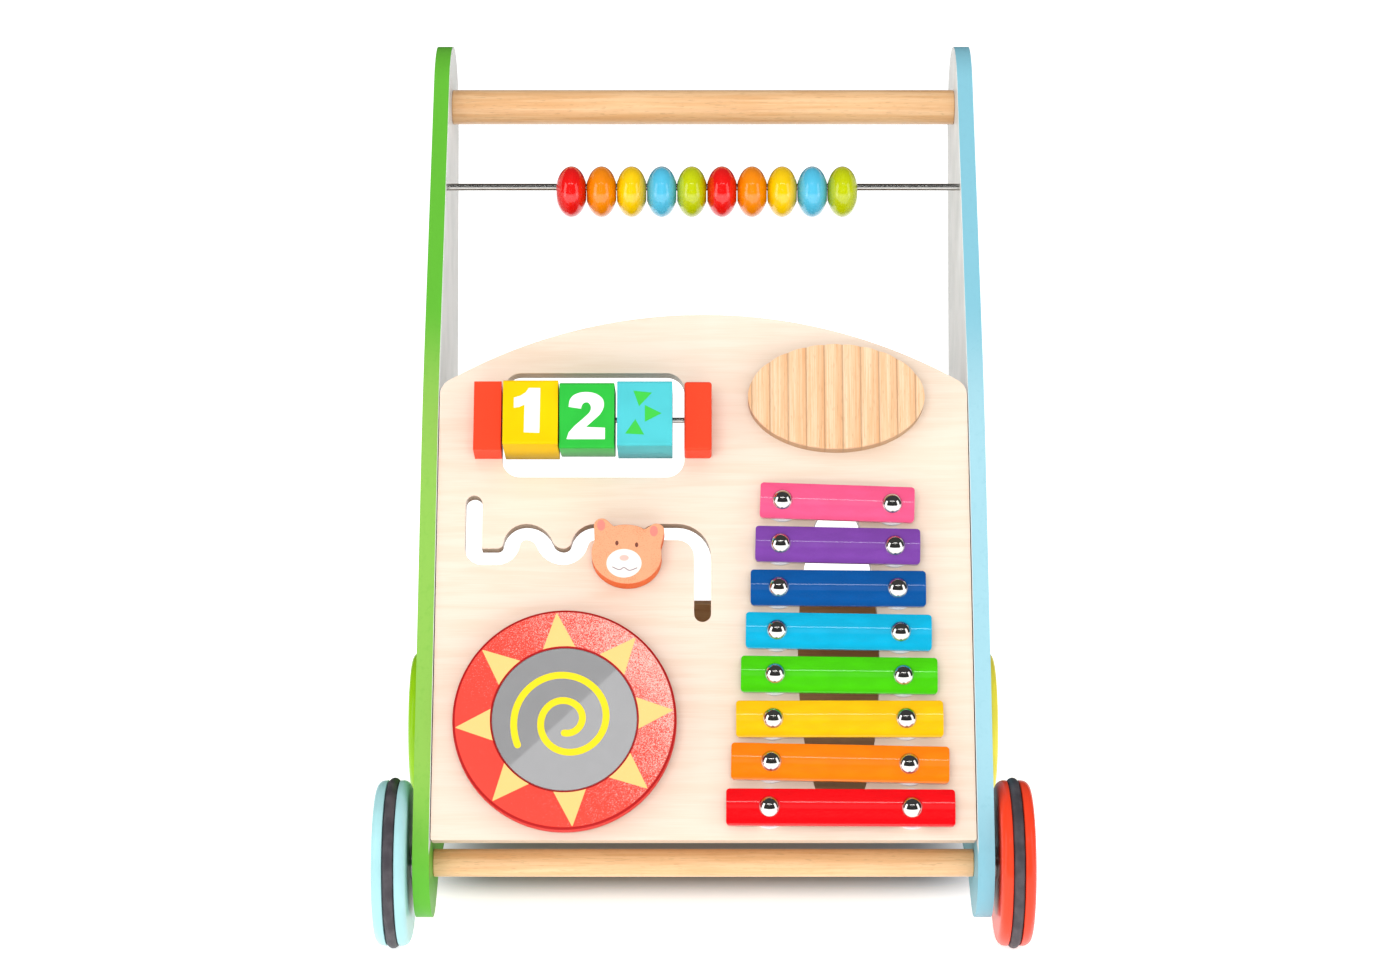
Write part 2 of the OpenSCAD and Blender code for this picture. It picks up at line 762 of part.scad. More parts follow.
// Places its children on an axle, z pointing out of the wheel; side is -1 on the left
module on_axle(side, y) {
    translate([side * wheel_x, y, axle_z]) rotate([0, side * 90, 0]) children();
}
// Wooden disc with round rims, a groove for the tyre ring and a hub recess
module wheel(side, y, colour) {
    r = wheel_d / 2;
    groove = tyre_cord_d / 2 + seat_fit;
    groove_r = tyre_ring_r - groove;
    mid = wheel_w / 2;
    recess_z = wheel_w - hub_recess;
    color(colour) on_axle(side, y) rotate_extrude() polygon(concat(
        [[axle_bolt_d / 2 + run_fit, 0]],
        [for (a = [-90:15:0]) [r - wheel_round, wheel_round] + wheel_round * dir(a)],
        [[r, mid - groove], [groove_r, mid - groove], [groove_r, mid + groove], [r, mid + groove]],
        [for (a = [0:15:90]) [r - wheel_round, wheel_w - wheel_round] + wheel_round * dir(a)],
        [[hub_recess_d / 2, wheel_w], [hub_recess_d / 2, recess_z], [axle_bolt_d / 2 + run_fit, recess_z]]
    ));
}
module tyre(side, y) {
    color([0.15, 0.15, 0.16]) on_axle(side, y) translate([0, 0, wheel_w / 2])
        rotate_extrude() translate([tyre_ring_r, 0]) circle(d = tyre_cord_d);
}
module wheel_bolts() {
    head_z = wheel_w - hub_recess + end_gap;
    inner_z = -wheel_gap - side_t;
    color(steel) for (side = [-1, 1], y = [front_y, rear_y]) on_axle(side, y) {
        translate([0, 0, head_z]) dome(bolt_head_d, bolt_head_h);
        translate([0, 0, inner_z]) cylinder(d = axle_bolt_d, h = head_z - inner_z + 0.01);
        translate([0, 0, inner_z - bolt_thread_len]) cylinder(d = bolt_thread_d, h = bolt_thread_len + 1);
    }
}
module wheel_spacers() {
    color(steel) for (side = [-1, 1], y = [front_y, rear_y]) on_axle(side, y) difference() {
        translate([0, 0, -wheel_gap]) cylinder(d = bolt_head_d, h = wheel_gap - end_gap);
        translate([0, 0, -wheel_gap - 1]) cylinder(d = axle_bolt_d + 2 * seat_fit, h = wheel_gap + 2);
    }
}

left_side_panel();
right_side_panel();
play_panel();
rear_board();
tray_floor();
handle_bar();
axle_dowel(front_y);  // front_axle_dowel
axle_dowel(rear_y);  // rear_axle_dowel
frame_screws();
abacus_rod();
for (i = [0:bead_count - 1]) {
    bead(i);
}
block_holder(-1);  // block_holder_left
block_holder(1);  // block_holder_right
block_rod();
for (i = [0:2]) {
    number_block(i);
}
bear_head();
bear_pin();
bear_rear_disc();
sun_disc();
sun_mirror();
sun_pivot_bolt();
sun_pivot_nut();
sun_spacer();
guiro_board();
for (i = [0:bar_count - 1]) {
    xylophone_bar(i);
}
xylophone_screws();
xylophone_washers();
wheel(-1, front_y, sky_blue);  // wheel_front_left
wheel(1, front_y, coral);  // wheel_front_right
wheel(-1, rear_y, leaf_green);  // wheel_rear_left
wheel(1, rear_y, bead_colours[2]);  // wheel_rear_right
tyre(-1, front_y);  // tyre_front_left
tyre(1, front_y);  // tyre_front_right
tyre(-1, rear_y);  // tyre_rear_left
tyre(1, rear_y);  // tyre_rear_right
wheel_bolts();
wheel_spacers();
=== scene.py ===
"""Looks of a wooden baby walker: eased plywood, painted wood, enamelled bars, steel, felt and rubber."""
import json
import math

import bmesh
import bpy
from mathutils import Matrix, Vector


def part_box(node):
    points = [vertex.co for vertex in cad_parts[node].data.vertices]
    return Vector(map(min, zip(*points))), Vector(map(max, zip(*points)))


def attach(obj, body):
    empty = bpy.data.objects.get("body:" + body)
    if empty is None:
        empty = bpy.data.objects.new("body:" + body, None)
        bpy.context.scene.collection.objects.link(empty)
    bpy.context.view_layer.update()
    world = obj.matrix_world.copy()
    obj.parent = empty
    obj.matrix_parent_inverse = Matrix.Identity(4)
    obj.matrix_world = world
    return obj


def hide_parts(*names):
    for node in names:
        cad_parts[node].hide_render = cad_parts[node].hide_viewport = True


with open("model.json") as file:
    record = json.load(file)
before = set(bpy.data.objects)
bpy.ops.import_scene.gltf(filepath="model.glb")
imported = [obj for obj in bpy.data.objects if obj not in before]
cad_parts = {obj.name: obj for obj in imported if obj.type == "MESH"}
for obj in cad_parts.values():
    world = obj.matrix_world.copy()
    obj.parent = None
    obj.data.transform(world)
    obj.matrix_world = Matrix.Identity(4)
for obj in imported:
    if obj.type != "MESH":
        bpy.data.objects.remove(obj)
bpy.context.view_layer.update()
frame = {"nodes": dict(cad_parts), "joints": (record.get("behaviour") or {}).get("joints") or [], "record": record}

MM = 0.001
record = frame["record"]
joints = {joint["name"]: joint for joint in frame["joints"]}
body_of = {node: body for body, nodes in record["behaviour"]["bodies"].items() for node in nodes}


# ---------------------------------------------------------------- the play panel's own directions

PLY = 9
ACROSS = Vector((1, 0, 0))
OUT = Vector(joints["sun_disc_spin"]["axis"]).normalized()
UP_SLOPE = OUT.cross(ACROSS)
panel_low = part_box("play_panel")[0]
PANEL_TURN = Matrix((ACROSS, UP_SLOPE, OUT)).transposed().to_4x4()
PANEL = Matrix.Translation((0, panel_low.y, panel_low.z + PLY * MM * OUT.z)) @ PANEL_TURN


def turned_about(axis, degrees):
    return Matrix.Rotation(math.radians(degrees), 4, axis)


def on_panel(x, s, n=0.0, turn=0.0):
    """Place on the play panel, in mm across it, up its slope and out of its face, turned anticlockwise"""
    place = Matrix.Translation(Vector((x, s, n)) * MM)
    return PANEL @ place @ turned_about("Z", turn)


def over(point):
    """Place on the play panel's face under a point"""
    local = PANEL.inverted() @ point
    return on_panel(local.x / MM, local.y / MM)


def middle_of(node):
    """Middle of a node's box"""
    low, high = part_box(node)
    return (low + high) / 2


# ---------------------------------------------------------------- mixing finishes

def add_node(tree, kind, inputs=(), **settings):
    """Adds a node; its inputs are given as values or as other nodes' outputs"""
    made = tree.nodes.new(kind)
    for key, value in settings.items():
        setattr(made, key, value)
    for key, value in dict(inputs).items():
        if isinstance(value, bpy.types.NodeSocket):
            tree.links.new(value, made.inputs[key])
        else:
            made.inputs[key].default_value = value
    return made


def calculator(tree):
    """Short way to add maths nodes to a tree"""
    def calc(operation, a, b=0.0, c=0.0):
        return add_node(tree, "ShaderNodeMath", {0: a, 1: b, 2: c}, operation=operation).outputs[0]
    return calc


def tone(red, green, blue):
    """Linear colour of a surface given as it looks in the bright studio, 0 to 255"""
    def linear(part):
        part /= 255
        return (part / 12.92 if part <= 0.04045 else ((part + 0.055) / 1.055) ** 2.4) * 0.8
    return (linear(red), linear(green), linear(blue), 1.0)


def shaded(colour, share):
    """The colour, darker or lighter by a share"""
    return tuple(min(1.0, part * share) for part in colour[:3]) + (1.0,)


class Finish:
    """A finish being mixed: one shader and the patterns that feed it"""

    def __init__(self, name, **sockets):
        self.material = bpy.data.materials.new(name)
        self.material.use_nodes = True
        self.tree = self.material.node_tree
        self.shader = self.tree.nodes["Principled BSDF"]
        self.math = calculator(self.tree)
        for key, value in sockets.items():
            self.shader.inputs[key.replace("_", " ")].default_value = value

    def feed(self, socket, value):
        self.tree.links.new(value, self.shader.inputs[socket])

    def space(self, place=None, stretch=1.0):
        """Position on the piece, measured from a place along its own directions

        stretch is the unit of each direction, or one unit for all three.
        """
        place = place or Matrix.Identity(4)
        if not isinstance(stretch, tuple):
            stretch = (stretch,) * 3
        coords = add_node(self.tree, "ShaderNodeTexCoord").outputs["Object"]
        return add_node(self.tree, "ShaderNodeMapping", {
            "Vector": coords,
            "Location": place.to_translation(),
            "Rotation": place.to_euler(),
            "Scale": stretch,
        }, vector_type="TEXTURE").outputs[0]

    def noise(self, vector, scale=1.0, detail=2.0, rough=0.5, distortion=0.0):
        return add_node(self.tree, "ShaderNodeTexNoise", {
            "Vector": vector, "Scale": scale, "Detail": detail, "Roughness": rough,
            "Distortion": distortion,
        }).outputs[0]

    def spread(self, value, low, high, to_low=0.0, to_high=1.0):
        """Value spread from one range to another, held at its ends"""
        return add_node(self.tree, "ShaderNodeMapRange", {
            0: value, 1: low, 2: high, 3: to_low, 4: to_high,
        }, interpolation_type="SMOOTHSTEP").outputs[0]

    def blend(self, share, a, b, blend_type="MIX"):
        """Colour a turning into colour b"""
        return add_node(
            self.tree, "ShaderNodeMix", {0: share, 6: a, 7: b},
            data_type="RGBA", blend_type=blend_type,
        ).outputs[2]

    def parts(self, vector):
        return add_node(self.tree, "ShaderNodeSeparateXYZ", {0: vector}).outputs

    def bump(self, height, depth, strength=1.0):
        """Relief of a height pattern, depth in mm"""
        return add_node(self.tree, "ShaderNodeBump", {
            "Height": height, "Distance": depth * MM, "Strength": strength,
        }).outputs[0]


def wood_grain(mix, place, length=70, width=3.2):
    """Long figure and fine fibres along a place's first direction, from 0 to 1"""
    figure = mix.noise(
        mix.space(place, (length * MM, width * MM, width * MM)), detail=3, distortion=0.6
    )
    fibres = mix.noise(mix.space(place, (length / 3 * MM, 0.35 * MM, 0.35 * MM)), detail=1)
    return figure, fibres


def timber(name, light, dark, place, layers=None, fleck=0.0, width=3.2, grooves=None, **sockets):
    """Clear-lacquered wood

    layers is the plywood's thickness along the place's third direction; grooves is (pitch, shift) of
    grooves across its second direction, darkened with painted shade in each groove, on the side of each
    rib away from the light and on the board's sides below its ribbed top.
    """
    mix = Finish(name, **{"Roughness": 0.42, "Specular_IOR_Level": 0.4, **sockets})
    figure, fibres = wood_grain(mix, place, width=width)
    share = mix.math("MULTIPLY_ADD", fibres, 0.35, mix.math("MULTIPLY", figure, 0.65))
    colour = mix.blend(mix.spread(share, 0.36, 0.64), dark, light)
    cloud = mix.noise(mix.space(stretch=0.06), detail=2)
    colour = mix.blend(mix.spread(cloud, 0.3, 0.75, 0, 0.35), colour, shaded(light, 1.06))
    if fleck:
        dashes = mix.noise(mix.space(place, (5 * MM, 0.45 * MM, 0.45 * MM)), detail=0)
        colour = mix.blend(mix.spread(dashes, 0.66, 0.74, 0, fleck), colour, shaded(dark, 0.62))
    if layers:
        depth = mix.parts(mix.space(place, MM))[2]
        ply = mix.math("PINGPONG", mix.math("ADD", depth, 0.02), layers / 7)
        stripe = mix.spread(ply, layers / 7 * 0.3, layers / 7 * 0.55)
        glue = mix.math("LESS_THAN", ply, 0.1)
        edge = mix.blend(stripe, shaded(dark, 0.6), shaded(dark, 0.92))
        edge = mix.blend(glue, edge, shaded(dark, 0.32))
        inside = mix.math(
            "MULTIPLY", mix.math("LESS_THAN", depth, -0.7), mix.math("GREATER_THAN", depth, 0.7 - layers)
        )
        colour = mix.blend(inside, colour, edge)
    if grooves:
        pitch, shift = grooves
        _, across, depth = mix.parts(mix.space(place, MM))
        from_groove = mix.math("SUBTRACT", mix.math("MULTIPLY", across, -1), shift)
        phase = mix.math("FRACT", mix.math("DIVIDE", mix.math("ADD", from_groove, 100 * pitch), pitch))
        # Painted shade standing in for light from one side: the side of each rib away from the light turned amber,
        # and each groove darkened
        shaded_rib_side = mix.blend(1.0, colour, (0.93, 0.74, 0.56, 1), "MULTIPLY")
        colour = mix.blend(mix.spread(phase, 0.35, 0.95, 0, 0.6), colour, shaded_rib_side)
        near = mix.math("PINGPONG", from_groove, pitch / 2)
        colour = mix.blend(mix.spread(near, 0.1, 0.7, 0.5, 0), colour, shaded(dark, 0.4))
        # Painted shade on the board's sides below its ribbed top
        colour = mix.blend(mix.spread(depth, 6.4, 7.4, 0.75, 0), colour, shaded(dark, 0.5))
    mix.feed("Base Color", colour)
    mix.feed("Roughness", mix.spread(fibres, 0.2, 0.8, 0.34, 0.52))
    mix.feed("Normal", mix.bump(share, 0.06, 0.5))
    return mix.material


def paint(name, colour, place=None, gloss=0.34, lines=0.07, **sockets):
    """Satin paint on wood: thin enough for a little grain to show, and a touch paler where it is thick"""
    place = place or Matrix.Identity(4)
    sheen = {"Specular_IOR_Level": 0.2, "Coat_Weight": 0.25, "Coat_Roughness": 0.12}
    mix = Finish(name, **{**sheen, **sockets})
    figure, fibres = wood_grain(mix, place, length=45, width=2.4)
    cloud = mix.noise(mix.space(stretch=0.025), detail=2)
    coat = mix.blend(mix.spread(cloud, 0.3, 0.7), shaded(colour, 0.94), shaded(colour, 1.05))
    coat = mix.blend(mix.spread(figure, 0.55, 0.8, 0, lines * 3), coat, shaded(colour, 0.8))
    mix.feed("Base Color", coat)
    mix.feed("Roughness", mix.spread(fibres, 0.2, 0.8, gloss - 0.05, gloss + 0.07))
    peel = mix.noise(mix.space(stretch=0.9 * MM), detail=1)
    relief = mix.math("MULTIPLY_ADD", peel, 0.3, figure)
    mix.feed("Normal", mix.bump(relief, 0.05, 0.35))
    return mix.material


def side_paint(name, colour, lit_colour, inner_x):
    """Paint of a side board: colour all over but for the inner face, white above the panel's foot; its front edge
    paler with painted light
    """
    mix = Finish(name, Specular_IOR_Level=0.15, Coat_Weight=0.06, Coat_Roughness=0.2)
    along_edge = turned_about("X", -60) @ turned_about("Z", 90)
    figure, fibres = wood_grain(mix, along_edge, length=60, width=3)
    x, y, z = mix.parts(mix.space(stretch=MM))
    ahead = mix.parts(mix.space(PANEL, MM))[2]
    # Painted light: the front edge paler where it faces up into the light, fading out at the foot and towards the
    # top
    front = mix.math("MULTIPLY", mix.spread(ahead, -8, 1), mix.spread(z, 40, 110))
    front = mix.math("MULTIPLY", front, mix.spread(z, 330, 430, 1, 0.15))
    coat = mix.blend(mix.math("MULTIPLY", front, 0.8), colour, lit_colour)
    coat = mix.blend(mix.spread(figure, 0.5, 0.8, 0, 0.2), coat, shaded(colour, 0.82))
    cloud = mix.noise(mix.space(stretch=0.03), detail=2)
    white = mix.blend(mix.spread(cloud, 0.3, 0.7), tone(228, 230, 226), tone(243, 243, 240))
    reach = mix.math("ABSOLUTE", x)
    inner = mix.math("LESS_THAN", reach, inner_x)
    above = mix.spread(mix.math("MULTIPLY_ADD", y, -0.1, z), 76, 80)
    mix.feed("Base Color", mix.blend(mix.math("MULTIPLY", inner, above), coat, white))
    mix.feed("Roughness", mix.spread(fibres, 0.2, 0.8, 0.36, 0.5))
    mix.feed("Normal", mix.bump(figure, 0.06, 0.35))
    return mix.material


def crayon(name, colour, mark, place, lean=(0.0, 0.0), amount=0.5, drifts=0.5, rim=None, flank=None):
    """Paint with a rubbed, chalky print on it, stronger towards one side

    rim is (inner radius, outer radius, colour) of a ring whose two edges are bare of the print;
    flank is (height, colour) of sides that are bare of it.
    """
    mix = Finish(name, Roughness=0.5, Specular_IOR_Level=0.2)
    across, up, out = mix.parts(mix.space(place, MM))
    grain = mix.noise(mix.space(place, 0.45 * MM), detail=3, rough=0.7)
    drift = mix.noise(mix.space(place, 9 * MM), detail=2)
    towards = mix.math("MULTIPLY_ADD", across, lean[0], mix.math("MULTIPLY", up, lean[1]))
    share = mix.math("MULTIPLY_ADD", drift, drifts, mix.math("ADD", towards, 0.25 - drifts / 2))
    level = mix.math("MULTIPLY_ADD", share, 0.45, grain)
    chalk = mix.spread(level, 0.78 - 0.2 * amount, 0.9 - 0.2 * amount, 0, 0.8)
    coat = mix.blend(chalk, colour, mark)
    if rim:
        inner, outer, bare = rim
        radius = mix.math("SQRT", mix.math("MULTIPLY_ADD", across, across, mix.math("MULTIPLY", up, up)))
        edges = mix.math("MAXIMUM", mix.spread(radius, outer - 1.7, outer - 1.1), mix.spread(
            radius, inner + 0.5, inner + 1.3, 1, 0))
        coat = mix.blend(edges, coat, bare)
    if flank:
        height, bare = flank
        coat = mix.blend(mix.spread(out, height - 0.4, height + 0.3, 1, 0), coat, bare)
    mix.feed("Base Color", coat)
    mix.feed("Roughness", mix.spread(grain, 0.3, 0.7, 0.42, 0.6))
    mix.feed("Normal", mix.bump(grain, 0.03, 0.3))
    return mix.material


def enamel(name, colour, place):
    """Stove enamel on a pressed steel bar: glossy, with a faint ripple and painted shade along its lower edge"""
    mix = Finish(name, Specular_IOR_Level=0.1, Coat_Weight=1.0, Coat_Roughness=0.05, Coat_IOR=1.5)
    pool = mix.noise(mix.space(place, (14 * MM, 5 * MM, 5 * MM)), detail=2)
    up = mix.parts(mix.space(place, MM))[1]
    coat = mix.blend(mix.spread(pool, 0.3, 0.7), shaded(colour, 0.95), shaded(colour, 1.06))
    # Painted shade: the bar darker towards its lower edge, where its arch turns away from the light
    low = mix.spread(up, -10, -6.5, 1, 0)
    coat = mix.blend(mix.math("MULTIPLY", low, 0.45), coat, shaded(colour, 0.72))
    specks = mix.noise(mix.space(stretch=0.3 * MM), detail=0)
    mix.feed("Base Color", coat)
    mix.feed("Roughness", mix.spread(specks, 0.3, 0.7, 0.22, 0.32))
    ripple = mix.noise(mix.space(place, (3.2 * MM, 1.4 * MM, 1.4 * MM)), detail=1)
    mix.feed("Normal", mix.bump(ripple, 0.012, 0.4))
    return mix.material


def metal(name, colour, place=None, gloss=0.1, brushed=0.3):
    """Bright metal with fine marks round its third direction"""
    mix = Finish(name, Metallic=1.0)
    marks = mix.noise(mix.space(place, (0.4 * MM, 0.4 * MM, 9 * MM)), detail=2)
    smear = mix.noise(mix.space(stretch=4 * MM), detail=2)
    mix.feed("Base Color", mix.blend(mix.spread(smear, 0.3, 0.7), shaded(colour, 0.92), colour))
    mix.feed("Roughness", mix.spread(marks, 0.25, 0.75, gloss * (1 - brushed), gloss * (1 + brushed)))
    mix.feed("Normal", mix.bump(marks, 0.004, 0.3))
    return mix.material


def mirror_sheet(name):
    """Soft grey mirror foil behind clear plastic"""
    mix = Finish(name, Metallic=0.75)
    haze = mix.noise(mix.space(stretch=7 * MM), detail=2)
    cloud = mix.blend(mix.spread(haze, 0.3, 0.7), (0.69, 0.69, 0.7, 1), (0.71, 0.71, 0.72, 1))
    mix.feed("Base Color", cloud)
    mix.feed("Roughness", mix.spread(haze, 0.3, 0.7, 0.01, 0.016))
    return mix.material


def felt_wool(name):
    """White pressed wool felt"""
    mix = Finish(name, Roughness=0.95, Specular_IOR_Level=0.1, Sheen_Weight=0.4, Sheen_Roughness=0.5)
    fuzz = mix.noise(mix.space(stretch=0.35 * MM), detail=4, rough=0.7)
    mix.feed("Base Color", mix.blend(mix.spread(fuzz, 0.3, 0.7), tone(222, 222, 224), tone(246, 246, 247)))
    mix.feed("Normal", mix.bump(fuzz, 0.15, 0.8))
    return mix.material


def rubber(name):
    """Dull charcoal rubber with a moulded skin and a little dust"""
    mix = Finish(name, Specular_IOR_Level=0.35)
    skin = mix.noise(mix.space(stretch=0.5 * MM), detail=3)
    dust = mix.noise(mix.space(stretch=9 * MM), detail=3)
    mix.feed("Base Color", mix.blend(mix.spread(dust, 0.35, 0.75), tone(66, 62, 68), tone(88, 83, 88)))
    mix.feed("Roughness", mix.spread(skin, 0.3, 0.7, 0.5, 0.68))
    mix.feed("Normal", mix.bump(skin, 0.04, 0.5))
    return mix.material


# ---------------------------------------------------------------- shaping pieces

def finished_mesh(bm, name, sharp=35):
    """Mesh of a bmesh, its faces turned outwards and smooth between edges sharper than an angle"""
    bmesh.ops.recalc_face_normals(bm, faces=bm.faces[:])
    mesh = bpy.data.meshes.new(name)
    bm.to_mesh(mesh)
    bm.free()
    mesh.shade_smooth()
    mesh.set_sharp_from_angle(angle=math.radians(sharp))
    return mesh


def with_modifiers(piece):
    """New mesh of an object with its modifiers worked into it"""
    bpy.context.view_layer.update()
    depsgraph = bpy.context.evaluated_depsgraph_get()
    return bpy.data.meshes.new_from_object(piece.evaluated_get(depsgraph))


def worked(mesh, *modifiers):
    """Mesh with modifiers worked into it, each given as its kind and settings"""
    blank = bpy.data.objects.new("blank", mesh)
    bpy.context.scene.collection.objects.link(blank)
    for kind, settings in modifiers:
        modifier = blank.modifiers.new(kind, kind)
        for key, value in settings.items():
            setattr(modifier, key, value)
    result = with_modifiers(blank)
    bpy.data.objects.remove(blank)
    return result


def eased(mesh, radius, segments=3, angle=40):
    """Mesh with its corners sanded round, radius in mm"""
    return worked(mesh, ("BEVEL", {
        "width": radius * MM, "segments": segments, "limit_method": "ANGLE",
        "angle_limit": math.radians(angle), "harden_normals": True, "miter_outer": "MITER_ARC",
    }))


def cut_shape(node):
    """A CAD node's shape as one clean mesh with whole flat faces"""
    bm = bmesh.new()
    bm.from_mesh(frame["nodes"][node].data)
    bmesh.ops.remove_doubles(bm, verts=bm.verts[:], dist=2e-6)
    bmesh.ops.dissolve_limit(
        bm, angle_limit=math.radians(0.2), verts=bm.verts[:], edges=bm.edges[:]
    )
    return finished_mesh(bm, node)


def ring(bm, radius, height, steps, count=None):
    """Corners on a circle round Z, in mm"""
    turns = [math.tau * k / steps for k in range(count or steps)]
    return [bm.verts.new((radius * MM * math.cos(turn), radius * MM * math.sin(turn), height * MM))
            for turn in turns]


def turned(profile, name, steps=96, closed=False, sharp=35):
    """Shape turned on a lathe round +Z, from points (radius, height) in mm"""
    bm = bmesh.new()
    rings = [ring(bm, radius, height, steps, 1 if radius < 1e-6 else steps) for radius, height in profile]
    pairs = list(zip(rings, rings[1:] + rings[:1] if closed else rings[1:]))
    for low, high in pairs:
        for k in range(steps):
            corners = [low[k % len(low)], low[(k + 1) % len(low)],
                       high[(k + 1) % len(high)], high[k % len(high)]]
            corners = list(dict.fromkeys(corners))
            if len(corners) > 2:
                bm.faces.new(corners)
    return finished_mesh(bm, name, sharp)


def plate(outline, low, high, name):
    """Flat plate with an outline in mm, from one height to another"""
    bm = bmesh.new()
    bottom = [bm.verts.new((x * MM, y * MM, low * MM)) for x, y in outline]
    top = [bm.verts.new((x * MM, y * MM, high * MM)) for x, y in outline]
    count = len(outline)
    bm.faces.new(bottom[::-1])
    bm.faces.new(top)
    for k in range(count):
        bm.faces.new((bottom[k], bottom[(k + 1) % count], top[(k + 1) % count], top[k]))
    return finished_mesh(bm, name)


def joined(meshes, name):
    """Several meshes as one"""
    bm = bmesh.new()
    for mesh in meshes:
        bm.from_mesh(mesh)
    return finished_mesh(bm, name)


def moved(mesh, place):
    mesh.transform(place)
    return mesh


def oval(width, height, x=0.0, y=0.0, steps=64):
    """Outline of an ellipse"""
    turns = [math.tau * k / steps for k in range(steps)]
    return [(x + width / 2 * math.cos(turn), y + height / 2 * math.sin(turn)) for turn in turns]


def smooth_line(points, steps=8):
    """Smooth line through points"""
    line = []
    for i in range(len(points) - 1):
        a, b = Vector(points[max(i - 1, 0)]), Vector(points[i])
        c, d = Vector(points[i + 1]), Vector(points[min(i + 2, len(points) - 1)])
        for k in range(steps):
            t = k / steps
            line.append(tuple(
                0.5 * (2 * b + (c - a) * t + (2 * a - 5 * b + 4 * c - d) * t * t
                       + (3 * b - a - 3 * c + d) * t ** 3)
            ))
    return line + [tuple(points[-1])]


def stroke(points, width):
    """Outline of a brush stroke with round ends along a line of points"""
    left, right = [], []
    last = len(points) - 1
    for i, point in enumerate(points):
        a, b = Vector(points[max(i - 1, 0)]), Vector(points[min(i + 1, last)])
        side = Vector((a.y - b.y, b.x - a.x)).normalized() * width / 2
        left.append(tuple(Vector(point) + side))
        right.append(tuple(Vector(point) - side))
    def cap(end, start_angle):
        return [(end[0] + width / 2 * math.cos(start_angle - math.pi * k / 8),
                 end[1] + width / 2 * math.sin(start_angle - math.pi * k / 8)) for k in range(1, 8)]
    def angle(at, rim):
        return math.atan2(rim[1] - at[1], rim[0] - at[0])
    return (left + cap(points[-1], angle(points[-1], left[-1]))
            + right[::-1] + cap(points[0], angle(points[0], right[0])))


def add_piece(name, mesh, finish, body, slot, stands_for=()):
    """Sets a finished mesh into the scene, riding on a body"""
    mesh.name = name
    mesh.materials.clear()
    mesh.materials.append(finish)
    piece = bpy.data.objects.new(name, mesh)
    bpy.context.scene.collection.objects.link(piece)
    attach(piece, body)
    if stands_for:
        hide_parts(*stands_for)
    return piece


def stand_in(node, mesh, finish, slot):
    """A finished mesh that takes a CAD node's place"""
    return add_piece(f"{node}_finished", mesh, finish, body_of[node], slot, (node,))


def coat_node(node, finish):
    """Gives a CAD node that keeps its own shape a finish"""
    materials = frame["nodes"][node].data.materials
    materials.clear()
    materials.append(finish)


def round_bar(node, chamfer, steps):
    """Round bar along X with chamfered ends, in a CAD node's place"""
    low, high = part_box(node)
    radius, half = (high.z - low.z) / 2 / MM, (high.x - low.x) / 2 / MM
    profile = [(0, -half), (radius - chamfer, -half), (radius, -half + chamfer),
               (radius, half - chamfer), (radius - chamfer, half), (0, half)]
    return moved(turned(profile, node, steps), Matrix.Translation(middle_of(node)) @ AXIS_X)


def dome_profile(reach, crown, steps):
    """Profile of a domed head from its crown to its rim"""
    radius = (reach * reach + crown * crown) / (2 * crown)
    sweep = math.asin(reach / radius)
    angles = [sweep * k / steps for k in range(steps + 1)]
    return [(radius * math.sin(a), crown - radius + radius * math.cos(a)) for a in angles]


# ---------------------------------------------------------------- geometry node trees

def new_tree(name, sockets):
    """Geometry node tree with named inputs; returns it with its input and output nodes"""
    tree = bpy.data.node_groups.new(name, "GeometryNodeTree")
    tree.interface.new_socket("Geometry", in_out="OUTPUT", socket_type="NodeSocketGeometry")
    tree.interface.new_socket("Geometry", in_out="INPUT", socket_type="NodeSocketGeometry")
    for socket, kind in sockets.items():
        tree.interface.new_socket(socket, in_out="INPUT", socket_type="NodeSocket" + kind)
    return tree, tree.nodes.new("NodeGroupInput").outputs, tree.nodes.new("NodeGroupOutput").inputs


def grown(tree, mesh, name, **values):
    """Plain mesh that a tree makes from a starting mesh and its named inputs"""
    seed = bpy.data.objects.new(name, mesh)
    bpy.context.scene.collection.objects.link(seed)
    modifier = seed.modifiers.new(name, "NODES")
    modifier.node_group = tree
    for item in tree.interface.items_tree:
        key = item.name.replace(" ", "_").lower()
        if item.in_out == "INPUT" and key in values:
            modifier[item.identifier] = values[key]
    result = with_modifiers(seed)
    seed.modifiers.remove(modifier)
    bpy.data.objects.remove(seed)
    return result


def end_tree(tree, shape, given, result):
    """Ends a tree: its copies made real, and the finish set on the whole"""
    real = add_node(tree, "GeometryNodeRealizeInstances", {0: shape})
    done = add_node(tree, "GeometryNodeSetMaterial", {0: real.outputs[0], "Material": given["Finish"]})
    tree.links.new(done.outputs[0], result[0])
    return tree


def fastening_tree():
    """Sets one pattern piece on every mark, each turned by a chance angle"""
    tree, given, result = new_tree("Fastenings on their marks", {
        "Pattern": "Object", "Lean": "Vector", "Seed": "Int", "Finish": "Material",
    })
    pattern = add_node(tree, "GeometryNodeObjectInfo", {"Object": given["Pattern"]})
    chance = add_node(tree, "FunctionNodeRandomValue", {"Seed": given["Seed"]}, data_type="FLOAT")
    chance.inputs[3].default_value = math.tau
    spin = add_node(tree, "FunctionNodeAxisAngleToRotation", {
        "Axis": (0, 0, 1), "Angle": chance.outputs[1],
    })
    lean = add_node(tree, "FunctionNodeEulerToRotation", {0: given["Lean"]})
    turn = add_node(tree, "FunctionNodeRotateRotation", {
        "Rotation": lean.outputs[0], "Rotate By": spin.outputs[0],
    }, rotation_space="LOCAL")
    copies = add_node(tree, "GeometryNodeInstanceOnPoints", {
        "Points": given["Geometry"], "Instance": pattern.outputs["Geometry"],
        "Rotation": turn.outputs[0],
    })
    return end_tree(tree, copies.outputs[0], given, result)


